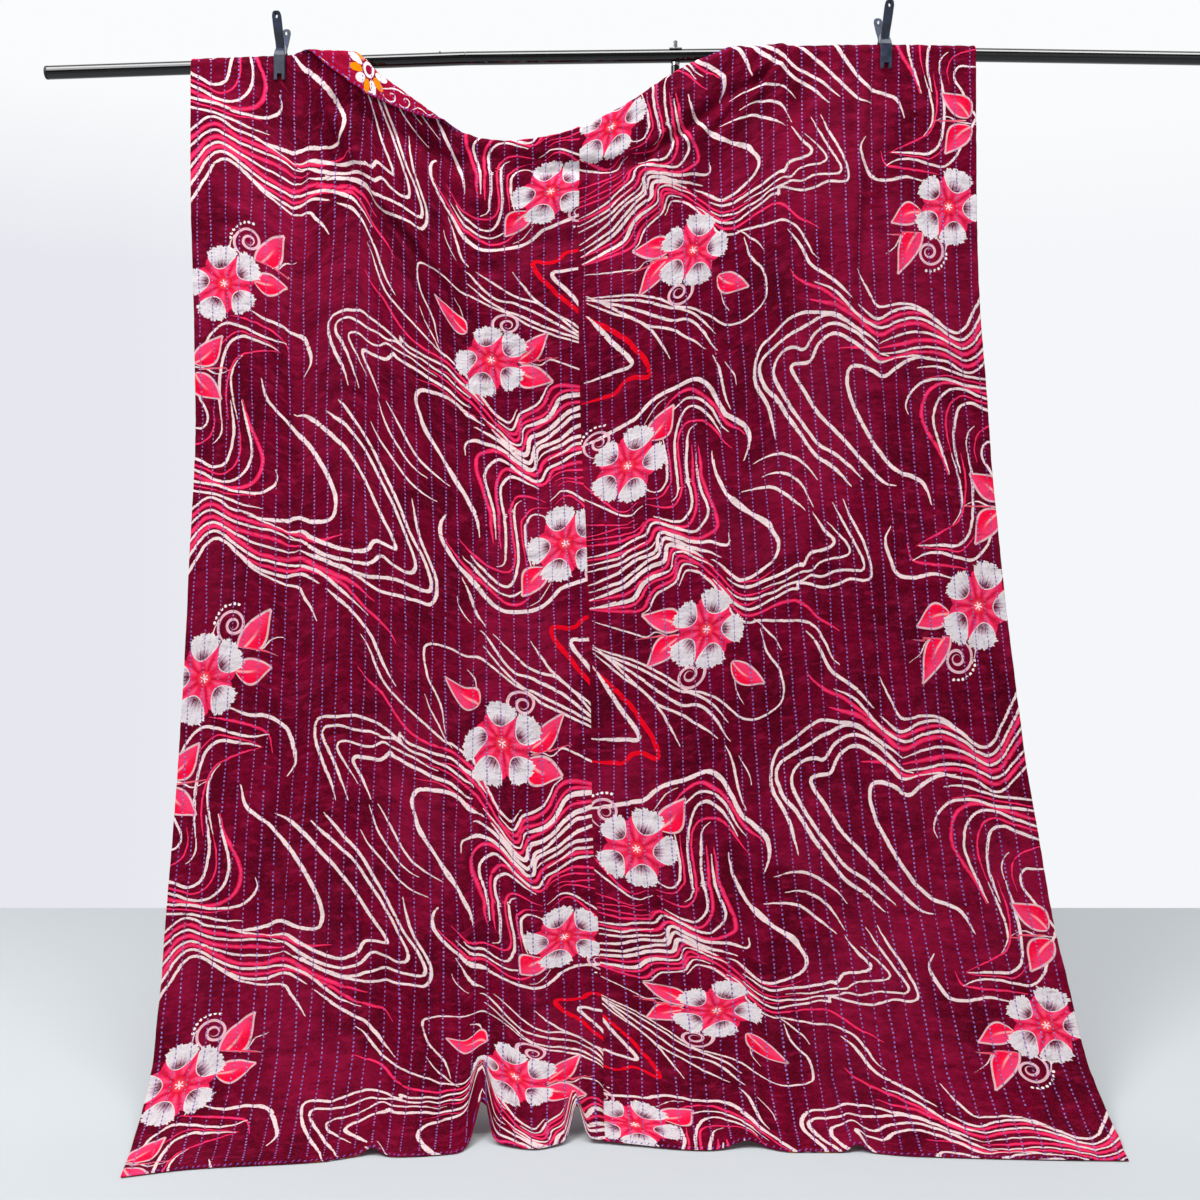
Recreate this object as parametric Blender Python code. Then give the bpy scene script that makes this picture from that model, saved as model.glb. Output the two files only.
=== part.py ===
"""Kantha quilt clipped over the crossbar of a T-shaped stand, its lower part swept forward over the floor.

The post stands at x = 0, z = 0 is the floor and the viewer is at -y. The quilt is three sheets: a left and a
right face panel, joined by a seam down the middle, and one backing behind both.
"""

import math

import bmesh
import bpy
import numpy as np
from mathutils import Matrix, Vector

# ---------------------------------------------------------------- quilt sizes
QUILT_WIDTH = 1.500
QUILT_LENGTH = 2.100
LAYER_THICKNESS = 0.0013
GAP = 0.0003
LAYER_GAP = 0.0004
SEAM_GAP = 0.0004
HALF_QUILT = LAYER_THICKNESS + LAYER_GAP / 2
REST_HEIGHT = HALF_QUILT + 0.00005
FRONT_TO_BACK_SHIFT = 0.1325
FOLD_SETTLES_OVER = 0.030

# ---------------------------------------------------------------- stand sizes
BAR_HEIGHT = 1.749
BAR_RADIUS = 0.0125
BAR_BORE = 0.0112
SECTION_LENGTH = 0.780
JOINT_GAP = 0.0008
QUILT_TO_BAR = 0.0008
BAR_CLEARANCE = BAR_RADIUS + QUILT_TO_BAR + HALF_QUILT

# Each bar section leans a little: rise to the right, in degrees.
SECTION_TILT = {"left": 1.95, "middle": 0.67, "right": -0.90}

# ------------------------------------------------- how the quilt hangs: tables
# Side profile from the bar to the front hem, with where the side edges and the seam lie at each level.
PROFILE_COLUMNS = ("y", "z", "left", "right", "seam_share")
PROFILE = (
    (-0.0150, 1.790, -0.897, 0.553, 0.490),
    (-0.0165, 1.560, -0.893, 0.556, 0.488),
    (-0.0200, 1.350, -0.885, 0.560, 0.485),
    (-0.0300, 1.108, -0.882, 0.571, 0.485),
    (-0.1000, 0.805, -0.876, 0.574, 0.490),
    (-0.2000, 0.488, -0.866, 0.581, 0.488),
    (-0.2600, 0.371, -0.859, 0.582, 0.485),
    (-0.3060, 0.290, -0.854, 0.581, 0.486),
    (-0.3500, 0.217, -0.848, 0.582, 0.487),
    (-0.3900, 0.160, -0.841, 0.584, 0.485),
    (-0.4300, 0.112, -0.836, 0.583, 0.485),
    (-0.4750, 0.068, -0.829, 0.582, 0.482),
    (-0.5250, 0.030, -0.826, 0.585, 0.479),
    (-0.5800, 0.008, -0.822, 0.584, 0.478),
    (-0.6300, REST_HEIGHT, -0.815, 0.575, 0.478),
    (-0.7400, REST_HEIGHT, -0.800, 0.556, 0.478),
)

# The fold along the top: height of its highest line, depth of the front sheet just below it, the fold's
# radius, how far it turns (1 is right round with the hem behind, 0 straight up, -1 right round with the hem
# in front), and the length of cloth from where it starts to turn up to the hem.
RIDGE_COLUMNS = ("x", "z", "front", "radius", "turn", "flap")
RIDGE = (
    (-0.896, 1.7420, -0.0147, 0.0147, 1.00, 0.092),
    (-0.800, 1.7450, -0.0147, 0.0147, 1.00, 0.084),
    (-0.745, 1.7470, -0.0147, 0.0147, 1.00, 0.062),
    (-0.728, 1.7477, -0.0147, 0.0147, 1.00, 0.048),
    (-0.714, 1.7488, -0.0149, 0.0147, 0.95, 0.034),
    (-0.703, 1.7503, -0.0165, 0.0125, 0.65, 0.019),
    (-0.694, 1.7510, -0.0195, 0.0080, 0.25, 0.011),
    (-0.685, 1.7515, -0.0210, 0.0065, -0.15, 0.010),
    (-0.675, 1.7510, -0.0215, 0.0060, -0.60, 0.014),
    (-0.662, 1.7500, -0.0215, 0.0060, -1.00, 0.024),
    (-0.645, 1.7490, -0.0215, 0.0060, -1.00, 0.038),
    (-0.615, 1.7480, -0.0215, 0.0065, -1.00, 0.060),
    (-0.589, 1.7455, -0.0215, 0.0065, -1.00, 0.076),
    (-0.574, 1.7360, -0.0215, 0.0060, -1.00, 0.077),
    (-0.550, 1.7100, -0.0220, 0.0060, -1.00, 0.063),
    (-0.500, 1.6730, -0.0220, 0.0060, -1.00, 0.048),
    (-0.450, 1.6360, -0.0225, 0.0060, -0.95, 0.026),
    (-0.427, 1.6205, -0.0230, 0.0060, -0.50, 0.015),
    (-0.405, 1.6075, -0.0240, 0.0060, 0.00, 0.011),
    (-0.383, 1.5975, -0.0250, 0.0060, 0.50, 0.015),
    (-0.355, 1.5890, -0.0260, 0.0060, 1.00, 0.024),
    (-0.310, 1.5850, -0.0280, 0.0065, 1.00, 0.033),
    (-0.250, 1.5910, -0.0290, 0.0065, 1.00, 0.042),
    (-0.180, 1.6090, -0.0290, 0.0065, 1.00, 0.045),
    (-0.110, 1.6420, -0.0290, 0.0060, 1.00, 0.044),
    (-0.030, 1.6930, -0.0290, 0.0050, 1.00, 0.036),
    (0.020, 1.7240, -0.0270, 0.0045, 0.90, 0.020),
    (0.052, 1.7400, -0.0235, 0.0050, 0.45, 0.012),
    (0.078, 1.7520, -0.0200, 0.0080, 0.25, 0.012),
    (0.100, 1.7600, -0.0170, 0.0110, 0.45, 0.017),
    (0.118, 1.7635, -0.0150, 0.0140, 0.80, 0.026),
    (0.135, 1.7648, -0.0147, 0.0147, 1.00, 0.036),
    (0.155, 1.7656, -0.0147, 0.0147, 1.00, 0.048),
    (0.178, 1.7690, -0.0148, 0.0148, 1.00, 0.062),
    (0.196, 1.7710, -0.0148, 0.0148, 1.00, 0.071),
    (0.214, 1.7660, -0.0147, 0.0147, 1.00, 0.078),
    (0.380, 1.7680, -0.0147, 0.0147, 1.00, 0.088),
    (0.554, 1.7655, -0.0147, 0.0147, 1.00, 0.092),
)

# How far forward the front hem reaches, along the quilt's width.
FRONT_HEM_COLUMNS = ("across", "y")
FRONT_HEM = (
    (0.000, -0.700),
    (0.110, -0.676),
    (0.310, -0.655),
    (0.390, -0.636),
    (0.430, -0.640),
    (0.520, -0.630),
    (0.560, -0.598),
    (0.640, -0.618),
    (0.715, -0.594),
    (0.780, -0.604),
    (0.900, -0.621),
    (0.975, -0.612),
    (1.030, -0.626),
    (1.120, -0.626),
    (1.200, -0.638),
    (1.420, -0.650),
    (1.500, -0.652),
)

# Folds that run down the quilt: place across at both ends, span of level (distance down the profile), width,
# and how far the fold stands out towards the viewer and up. "open" folds run on through the hem.
DOWN_FOLD_COLUMNS = ("top", "bottom", "start", "end", "width", "out", "up", "open")
DOWN_FOLDS = {
    "groove from the left clip": (0.195, 0.330, 0.04, 0.32, 0.016, -0.012, 0.0, False),
    "roll beside the groove": (0.235, 0.390, 0.05, 0.34, 0.020, 0.008, 0.0, False),
    "faint end of the groove": (0.320, 0.560, 0.22, 0.66, 0.032, -0.007, 0.0, False),
    "ridge under the right clip": (1.270, 1.262, 0.06, 0.55, 0.018, 0.006, 0.0, False),
    "soft ridge at the right edge": (1.420, 1.400, 0.20, 1.60, 0.040, 0.005, 0.0, False),
    "soft hollow left of the seam": (0.560, 0.600, 0.60, 1.60, 0.060, -0.008, 0.0, False),
    "soft ridge right of the seam": (0.900, 0.930, 0.50, 1.55, 0.060, 0.007, 0.0, False),
    "soft hollow on the left": (0.200, 0.180, 0.45, 1.50, 0.050, -0.006, 0.0, False),
    "left pleat": (0.385, 0.392, 1.58, 1.80, 0.014, -0.012, 0.0, False),
    "left pleat at the hem": (0.392, 0.392, 1.84, 2.02, 0.016, -0.004, 0.009, True),
    "left gap": (0.553, 0.562, 1.77, 2.00, 0.013, -0.034, 0.044, True),
    "tongue between the gaps": (0.630, 0.640, 1.80, 1.95, 0.030, 0.010, 0.004, False),
    "right gap": (0.700, 0.713, 1.84, 2.00, 0.011, -0.030, 0.040, True),
    "roll over the right gap": (0.738, 0.735, 1.76, 1.94, 0.012, 0.014, 0.012, False),
    "right pleat": (1.112, 1.122, 1.66, 1.93, 0.014, -0.012, 0.0, False),
    "right pleat at the hem": (1.122, 1.125, 1.86, 2.02, 0.013, -0.004, 0.009, True),
    "low arch by the seam": (0.955, 0.965, 1.88, 2.02, 0.024, -0.003, 0.008, True),
}

# Folds that run across: their route as (place across, level), then width and how far they stand out.
CROSS_FOLD_COLUMNS = ("route", "width", "out")
CROSS_FOLDS = {
    "crease under the sagging hem": (
        (
            (0.54, 0.175),
            (0.61, 0.205),
            (0.70, 0.222),
            (0.82, 0.222),
            (0.93, 0.165),
            (1.01, 0.105),
            (1.10, 0.040),
        ),
        0.015,
        -0.011,
    ),
    "second swag": (
        ((0.50, 0.300), (0.66, 0.350), (0.82, 0.345), (0.98, 0.260), (1.10, 0.150)),
        0.030,
        -0.006,
    ),
    "pleat by the crossing": (((1.075, 0.060), (1.105, 0.035), (1.135, 0.010)), 0.009, 0.007),
    "pinch over the left gap": (((0.50, 1.700), (0.55, 1.735), (0.61, 1.745)), 0.018, -0.010),
    "crease over the roll": (((0.68, 1.765), (0.73, 1.775), (0.78, 1.760)), 0.014, -0.009),
    "low hollow on the right": (((0.95, 1.500), (1.15, 1.560), (1.40, 1.520)), 0.050, -0.007),
}

# Grid lines of the cloth: (from, to, count), closer where the folds are tight.
COLUMN_ZONES = (
    (0.000, 0.140, 3),
    (0.140, 0.214, 8),
    (0.214, 0.370, 3),
    (0.370, 0.480, 2),
    (0.480, 0.540, 3),
    (0.540, 0.580, 4),
    (0.580, 0.690, 2),
    (0.690, 0.750, 4),
    (0.750, 0.980, 3),
    (0.980, 1.110, 10),
    (1.110, 1.170, 2),
    (1.170, 1.500, 4),
)
TURN_ROWS = 7
FLAP_ROWS = 2
MAIN_ROW_ZONES = ((0.0, 0.055, 3), (0.055, 0.13, 3), (0.13, 0.77, 5), (0.77, 0.89, 4), (0.89, 1.0, 5))

# --------------------------------------------------------------- clip sizes
CLIP_GRIP = BAR_CLEARANCE + HALF_QUILT + 2 * GAP
CLIP_PLACES = {"left": -0.731, "right": 0.387}
# One arm, from the tip of the jaw up to the end of the handle: height from the bar's axis, how far its middle
# stands off the grip plane, half width and half thickness.
CLIP_ARM_COLUMNS = ("height", "off", "half_width", "half_thickness")
CLIP_ARM = (
    (-0.0340, 0.0024, 0.0105, 0.0024),
    (0.0020, 0.0026, 0.0105, 0.0026),
    (0.0110, 0.0026, 0.0104, 0.0026),
    (0.0190, -0.0010, 0.0095, 0.0026),
    (0.0270, -0.0060, 0.0080, 0.0024),
    (0.0360, -0.0012, 0.0080, 0.0022),
    (0.0480, 0.0090, 0.0084, 0.0020),
    (0.0620, 0.0190, 0.0086, 0.0019),
    (0.0740, 0.0272, 0.0086, 0.0018),
    (0.0800, 0.0306, 0.0070, 0.0017),
    (0.0824, 0.0318, 0.0040, 0.0016),
)
CLIP_HOLE_HEIGHT = 0.0735
CLIP_HANDLE_LEAN = 37
CLIP_HOLE_RADIUS = 0.0026
CLIP_EDGE = 0.0012
CLIP_NOTCH_WIDTH = 0.009
CLIP_NOTCH_HEIGHT = 0.011
CUTTER_DEPTH = 0.040
SPRING_HEIGHT = 0.0270
SPRING_HALF_LENGTH = 0.0075

# -------------------------------------------------------------- stand pieces
POST_UPPER_RADIUS = 0.0080
POST_LOWER_RADIUS = 0.0110
COLLAR_RADIUS = 0.0170
COLLAR_BOTTOM = 1.060
COLLAR_TOP = 1.115
KNOB_RADIUS = 0.0110
KNOB_LENGTH = 0.0260
COLLAR_STEP = 0.012
RIM_EDGE = 0.0008
BAR_SIDES = 24
POST_SIDES = 20
SMALL_SIDES = 16
TINY_SIDES = 12
SPIGOT_RADIUS = 0.0046
SPIGOT_STANDS = 0.0155
SPIGOT_COLLAR_HEIGHT = 0.006
SADDLE_THICKNESS = 0.0024
SADDLE_HALF_WIDTH = 0.0115
SADDLE_HALF_ANGLE = 52
BUTTON_RADIUS = 0.0022
BUTTON_STANDS = 0.0016
BUTTON_FROM_JOINT = 0.047
PLUG_LENGTH = 0.005
PLUG_SHANK_LENGTH = 0.012
PLUG_ROUNDING = 0.003
SLEEVE_HALF_LENGTH = 0.040
HUB_RADIUS = 0.0200
UPPER_HUB = (0.400, 0.445)
LOWER_HUB = (0.110, 0.140)
LEG_RADIUS = 0.0070
LEG_REACH = 0.420
LEG_TOP = 0.424
FOOT_RADIUS = 0.0150
FOOT_HEIGHT = 0.018
FOOT_RIM = 0.010
BRACE_RADIUS = 0.0045
BRACE_SHARE = 0.50
LEG_AZIMUTHS = {"back": 90, "front_right": -30, "front_left": -150}

# Colour, roughness and metallic value of each material.
MATERIALS = {
    "printed cotton": ((0.140, 0.004, 0.022, 1), 0.85, 0.0),
    "backing cotton": ((0.290, 0.012, 0.020, 1), 0.85, 0.0),
    "black enamel": ((0.006, 0.006, 0.007, 1), 0.18, 0.0),
    "black plastic": ((0.012, 0.014, 0.020, 1), 0.45, 0.0),
    "spring steel": ((0.300, 0.310, 0.330, 1), 0.35, 1.0),
    "bright steel": ((0.750, 0.750, 0.760, 1), 0.15, 1.0),
    "rubber": ((0.015, 0.015, 0.015, 1), 0.70, 0.0),
}


# ------------------------------------------------------------------- helpers
def clear_scene():
    for obj in list(bpy.data.objects):
        bpy.data.objects.remove(obj, do_unlink=True)


def material(name):
    found = bpy.data.materials.get(name)
    if found:
        return found
    colour, roughness, metallic = MATERIALS[name]
    made = bpy.data.materials.new(name)
    made.use_nodes = True
    shader = made.node_tree.nodes["Principled BSDF"]
    shader.inputs["Base Color"].default_value = colour
    shader.inputs["Roughness"].default_value = roughness
    shader.inputs["Metallic"].default_value = metallic
    made.diffuse_color = colour
    return made


def place(name, mesh, material_name, matrix=None):
    """Adds the mesh as an object under the stand's origin and shades its round sides smooth."""
    mesh.materials.append(material(material_name))
    mesh.shade_smooth()
    mesh.set_sharp_from_angle(angle=math.radians(35))
    obj = bpy.data.objects.new(name, mesh)
    bpy.context.scene.collection.objects.link(obj)
    obj.parent = bpy.data.objects["stand_origin"]
    if matrix is not None:
        obj.matrix_local = matrix
    return obj


def mesh_from(name, points, faces):
    mesh = bpy.data.meshes.new(name)
    mesh.from_pydata([tuple(point) for point in points], [], [tuple(face) for face in faces])
    return mesh


def facing_out(mesh):
    maker = bmesh.new()
    maker.from_mesh(mesh)
    bmesh.ops.recalc_face_normals(maker, faces=maker.faces)
    maker.to_mesh(mesh)
    maker.free()
    return mesh


def cut(obj, mesh, matrix=None):
    """Cuts the mesh out of the object."""
    cutter = bpy.data.objects.new(f"cutter for {obj.name}", mesh)
    bpy.context.scene.collection.objects.link(cutter)
    cutter.parent = bpy.data.objects["stand_origin"]
    if matrix is not None:
        cutter.matrix_local = matrix
    cutter.hide_render = True
    cutter.display_type = "WIRE"
    boolean = obj.modifiers.new("cut", "BOOLEAN")
    boolean.operation = "DIFFERENCE"
    boolean.solver = "EXACT"
    boolean.object = cutter


def turned(name, rings, sides, bore=0.0):
    """A solid turned about z from (radius, height) rings, closed flat at both ends or open round a bore."""
    outer = list(rings)
    if bore:
        outer += [(bore, rings[-1][1]), (bore, rings[0][1])]
    angles = [2 * math.pi * i / sides for i in range(sides)]
    points = [(r * math.cos(a), r * math.sin(a), z) for r, z in outer for a in angles]
    faces = []
    last = len(outer) if bore else len(outer) - 1
    for ring in range(last):
        low, high = ring * sides, (ring + 1) % len(outer) * sides
        for i in range(sides):
            j = (i + 1) % sides
            faces.append((low + i, low + j, high + j, high + i))
    if not bore:
        faces.append(tuple(reversed(range(sides))))
        faces.append(tuple(range((len(outer) - 1) * sides, len(outer) * sides)))
    return mesh_from(name, points, faces)


def rod_rings(radius, low, high, edge):
    """Rings of a plain rod with its two rims rounded off by edge."""
    return [(radius - edge, low), (radius, low + edge), (radius, high - edge), (radius - edge, high)]


def box(name, size):
    maker = bmesh.new()
    bmesh.ops.create_cube(maker, size=1.0, matrix=Matrix.Diagonal((*size, 1.0)))
    mesh = bpy.data.meshes.new(name)
    maker.to_mesh(mesh)
    maker.free()
    return mesh


def strut(name, start, start_normal, end, end_normal, radius, sides):
    """A round strut between two points, each end cut by the plane through that point."""
    start, end = Vector(start), Vector(end)
    along = (end - start).normalized()
    side = along.orthogonal().normalized()
    other = along.cross(side)
    points = []
    for centre, normal in ((start, Vector(start_normal)), (end, Vector(end_normal))):
        for i in range(sides):
            angle = 2 * math.pi * i / sides
            offset = side * (radius * math.cos(angle)) + other * (radius * math.sin(angle))
            points.append(centre + offset - along * (offset.dot(normal) / along.dot(normal)))
    faces = [tuple(reversed(range(sides))), tuple(range(sides, 2 * sides))]
    for i in range(sides):
        j = (i + 1) % sides
        faces.append((i, j, sides + j, sides + i))
    return mesh_from(name, points, faces)


# ------------------------------------------------------------ quilt's surface
def columns(table, names):
    return dict(zip(names, np.array(table, float).T))


def smooth_curve(x, knots, values):
    """A curve through the knots that never overshoots between them."""
    step = np.diff(knots)
    slope = np.diff(values) / step
    same_way = slope[1:] * slope[:-1] > 0
    mean = np.where(same_way, 2 * slope[1:] * slope[:-1] / np.where(same_way, slope[1:] + slope[:-1], 1), 0)
    tangent = np.concatenate([slope[:1], mean, slope[-1:]])
    x = np.clip(x, knots[0], knots[-1])
    i = np.clip(np.searchsorted(knots, x, side="right") - 1, 0, len(knots) - 2)
    u = (x - knots[i]) / step[i]
    low = values[i] * (1 + 2 * u) + tangent[i] * step[i] * u
    high = values[i + 1] * (3 - 2 * u) - tangent[i + 1] * step[i] * (1 - u)
    return low * (1 - u) ** 2 + high * u**2


def ramp(x, low, high):
    """0 below low, 1 above high, smooth between."""
    u = np.clip((x - low) / (high - low), 0, 1)
    return u * u * (3 - 2 * u)


def running_length(*coordinates):
    steps = np.sqrt(sum(np.diff(c) ** 2 for c in coordinates))
    return np.concatenate([[0], np.cumsum(steps)])


def bar_axis(x):
    """Height of the bar's axis at x."""
    tilt = {side: math.tan(math.radians(degrees)) for side, degrees in SECTION_TILT.items()}
    half = SECTION_LENGTH / 2
    inner = np.clip(x, -half, half)
    outward = x - inner
    return BAR_HEIGHT + tilt["middle"] * inner + np.where(x < 0, tilt["left"], tilt["right"]) * outward


class Drape:
    """The quilt's middle surface. across runs from the left edge over the width, and down is measured along
    the cloth from where the fold at the top starts to turn: below 0 it is in the fold or on the flap."""

    def __init__(self):
        self.ridge = columns(RIDGE, RIDGE_COLUMNS)
        length = running_length(self.ridge["x"], self.ridge["z"])
        self.ridge_across = length * QUILT_WIDTH / length[-1]
        self.profile = columns(PROFILE, PROFILE_COLUMNS)
        self.level = running_length(self.profile["y"], self.profile["z"])
        self.hem = columns(FRONT_HEM, FRONT_HEM_COLUMNS)
        self.fine_level = np.linspace(0, self.level[-1], 2000)
        self.fine_y = self.at_level("y", self.fine_level)
        self.fine_z = self.at_level("z", self.fine_level)
        self.zero_level = self.level_of_height(BAR_HEIGHT)

    def at_level(self, name, level):
        return smooth_curve(level, self.level, self.profile[name])

    def at_ridge(self, name, across):
        return smooth_curve(across, self.ridge_across, self.ridge[name])

    def level_of_height(self, height):
        return np.interp(-height, -self.fine_z, self.fine_level)

    def top_fold(self, across, beyond):
        """Offsets back and up of cloth that lies this far beyond the start of the fold at the top."""
        radius, turn = self.at_ridge("radius", across), self.at_ridge("turn", across)
        most = np.abs(turn) * math.pi
        angle = np.minimum(beyond / radius, most)
        straight = np.maximum(beyond - radius * most, 0)
        back = radius * (1 - np.cos(angle)) + straight * np.sin(most)
        return np.sign(turn) * back, radius * np.sin(angle) + straight * np.cos(most)

    def fold_rise(self, across):
        """How far the fold's highest line lies above its start."""
        radius, turn = self.at_ridge("radius", across), self.at_ridge("turn", across)
        flap = self.at_ridge("flap", across)
        most = np.minimum(np.abs(turn) * math.pi, math.pi / 2)
        angle = np.minimum(flap / radius, most)
        return radius * np.sin(angle) + np.maximum(flap - radius * most, 0) * np.cos(most)

    def main_length(self, across):
        """Length of cloth from the fold at the top to the front hem."""
        return QUILT_LENGTH - self.at_ridge("flap", across)

    def hem_level(self, across):
        hem_y = smooth_curve(across, self.hem["across"], self.hem["y"])
        return np.interp(-hem_y, -self.fine_y, self.fine_level)

    def fold_offsets(self, across, level):
        """How far all folds together move the surface out, towards the viewer, and up."""
        out = np.zeros_like(level)
        up = np.zeros_like(level)
        for values in DOWN_FOLDS.values():
            fold = dict(zip(DOWN_FOLD_COLUMNS, values))
            share = np.clip((level - fold["start"]) / (fold["end"] - fold["start"]), 0, 1)
            centre = fold["top"] + (fold["bottom"] - fold["top"]) * share
            strength = np.exp(-(((across - centre) / fold["width"]) ** 2)) * ramp(share, 0.0, 0.4)
            if not fold["open"]:
                strength = strength * (1 - ramp(share, 0.6, 1.0))
            out += fold["out"] * strength
            up += fold["up"] * strength
        for values in CROSS_FOLDS.values():
            fold = dict(zip(CROSS_FOLD_COLUMNS, values))
            route = np.array(fold["route"]).T
            centre = smooth_curve(across, route[0], route[1])
            fade = 0.25 * (route[0][-1] - route[0][0])
            strength = np.exp(-(((level - centre) / fold["width"]) ** 2))
            strength = strength * ramp(across, route[0][0] - fade / 2, route[0][0] + fade)
            strength = strength * (1 - ramp(across, route[0][-1] - fade, route[0][-1] + fade / 2))
            out += fold["out"] * strength
        return out, up

    def point(self, across, down):
        """Positions (x, y, z) on the middle surface, for arrays of across and down."""
        front = self.at_ridge("front", across)
        ridge_x = self.at_ridge("x", across)
        turn_height = self.at_ridge("z", across) - self.fold_rise(across)
        back, rise = self.top_fold(across, np.maximum(-down, 0))

        start = self.level_of_height(turn_height)
        end = self.hem_level(across)
        level = start + (end - start) * np.clip(down / self.main_length(across), 0, 1)
        below = down > 0
        settle = 1 - ramp(level - start, 0.0, 0.30)
        main_y = self.at_level("y", level) + (front - self.at_level("y", start)) * settle
        y = np.where(below, main_y, front + back)
        z = np.where(below, self.at_level("z", level), turn_height + rise)

        left, right = self.at_level("left", level), self.at_level("right", level)
        width_share = across / QUILT_WIDTH
        bend = 4 * (self.at_level("seam_share", level) - 0.5) * width_share * (1 - width_share)
        hung_x = left + (right - left) * (width_share + bend)
        hung = ramp(level - self.zero_level, 0.10, 0.75)
        x = np.where(below, ridge_x + (hung_x - ridge_x) * hung, ridge_x)

        out, up = self.fold_offsets(across, level - self.zero_level)
        near_turn = ramp(down, 0.0, FOLD_SETTLES_OVER)
        y = y - out * near_turn
        z = np.maximum(z + up * near_turn, REST_HEIGHT)
        return self.clear_of_bar(x, y, z)

    @staticmethod
    def clear_of_bar(x, y, z):
        """Moves points that would lie in the bar straight out from its axis."""
        height = z - bar_axis(x)
        distance = np.maximum(np.hypot(y, height), 1e-6)
        push = np.where(distance < BAR_CLEARANCE, BAR_CLEARANCE / distance, 1.0)
        return np.stack([x, y * push, bar_axis(x) + height * push], axis=-1)

    def normal(self, across, down):
        """Unit normals that point to the printed side."""
        step = 0.0015
        low, high = np.clip(across - step, 0, QUILT_WIDTH), np.clip(across + step, 0, QUILT_WIDTH)
        along = self.point(high, down) - self.point(low, down)
        down_cloth = self.point(across, down + step) - self.point(across, down - step)
        normal = np.cross(down_cloth, along)
        return normal / np.linalg.norm(normal, axis=-1, keepdims=True)


def zone_lines(zones):
    lines = [zones[0][0]]
    for low, high, count in zones:
        lines += [low + (high - low) * (i + 1) / count for i in range(count)]
    return np.array(lines)


def row_places(drape, across):
    """Distance down the cloth of every grid row at one place across."""
    flap, radius, turn = (drape.at_ridge(name, across) for name in ("flap", "radius", "turn"))
    turned_length = np.clip(math.pi * radius * np.abs(turn), 0.45 * flap, 0.85 * flap)
    rows = [-flap + (flap - turned_length) * i / FLAP_ROWS for i in range(FLAP_ROWS)]
    rows += [-turned_length * (1 - i / TURN_ROWS) for i in range(TURN_ROWS)]
    rows += [drape.main_length(across) * share for share in zone_lines(MAIN_ROW_ZONES)]
    return np.array(rows)


def sheet(name, drape, lines, inner, outer):
    """A closed sheet between two offsets from the quilt's middle surface."""
    across = np.array(lines)
    down = np.array([row_places(drape, value) for value in across]).T
    across = np.broadcast_to(across, down.shape)
    middle = drape.point(across, down)
    normal = drape.normal(across, down)
    rows, count = down.shape
    back = (middle + normal * inner).reshape(-1, 3)
    face = (middle + normal * outer).reshape(-1, 3)
    points = np.concatenate([back, face])
    points[:, 2] = np.maximum(points[:, 2], 0.0)
    shift = rows * count
    faces = []
    for row in range(rows - 1):
        for i in range(count - 1):
            a = row * count + i
            b, c, d = a + 1, a + count + 1, a + count
            flat = middle[row : row + 2, i : i + 2]
            if np.linalg.norm(flat[0, 0] - flat[1, 1]) > np.linalg.norm(flat[0, 1] - flat[1, 0]):
                a, b, c, d = b, c, d, a
            faces += [(a, c, b), (a, d, c)]
            faces += [(shift + a, shift + b, shift + c), (shift + a, shift + c, shift + d)]
    rim = [i for i in range(count)]
    rim += [row * count + count - 1 for row in range(1, rows)]
    rim += [(rows - 1) * count + i for i in range(count - 2, -1, -1)]
    rim += [row * count for row in range(rows - 2, 0, -1)]
    for i, a in enumerate(rim):
        b = rim[(i + 1) % len(rim)]
        faces += [(a, b, shift + b), (a, shift + b, shift + a)]
    return facing_out(mesh_from(name, points, faces))


def make_quilt():
    drape = Drape()
    lines = zone_lines(COLUMN_ZONES)
    seam = QUILT_WIDTH / 2
    left = np.append(lines[lines < seam - 1e-6], seam - SEAM_GAP / 2)
    right = np.insert(lines[lines > seam + 1e-6], 0, seam + SEAM_GAP / 2)
    inner, outer = LAYER_GAP / 2, HALF_QUILT
    place("face_panel_left", sheet("face_panel_left", drape, left, inner, outer), "printed cotton")
    place("face_panel_right", sheet("face_panel_right", drape, right, inner, outer), "printed cotton")
    place("backing", sheet("backing", drape, lines, -outer, -inner), "backing cotton")


# --------------------------------------------------------------------- stand
def section_matrix(side):
    """Frame of a bar section: its z runs along the bar from left to right, from the section's middle."""
    tilt = math.radians(SECTION_TILT[side])
    half = SECTION_LENGTH / 2
    joint = {"left": -half, "middle": 0.0, "right": half}[side]
    start = Vector((joint, 0.0, float(bar_axis(np.array(joint)))))
    along = Vector((math.cos(tilt), 0.0, math.sin(tilt)))
    reach = {"left": -half, "middle": 0.0, "right": half}[side]
    turn = Matrix.Rotation(math.pi / 2 - tilt, 4, "Y")
    return Matrix.Translation(start + along * reach) @ turn


def spigot_drill():
    radius = SPIGOT_RADIUS + GAP
    return turned("spigot hole", [(radius, -2 * BAR_RADIUS), (radius, 2 * BAR_RADIUS)], SMALL_SIDES)


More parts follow.
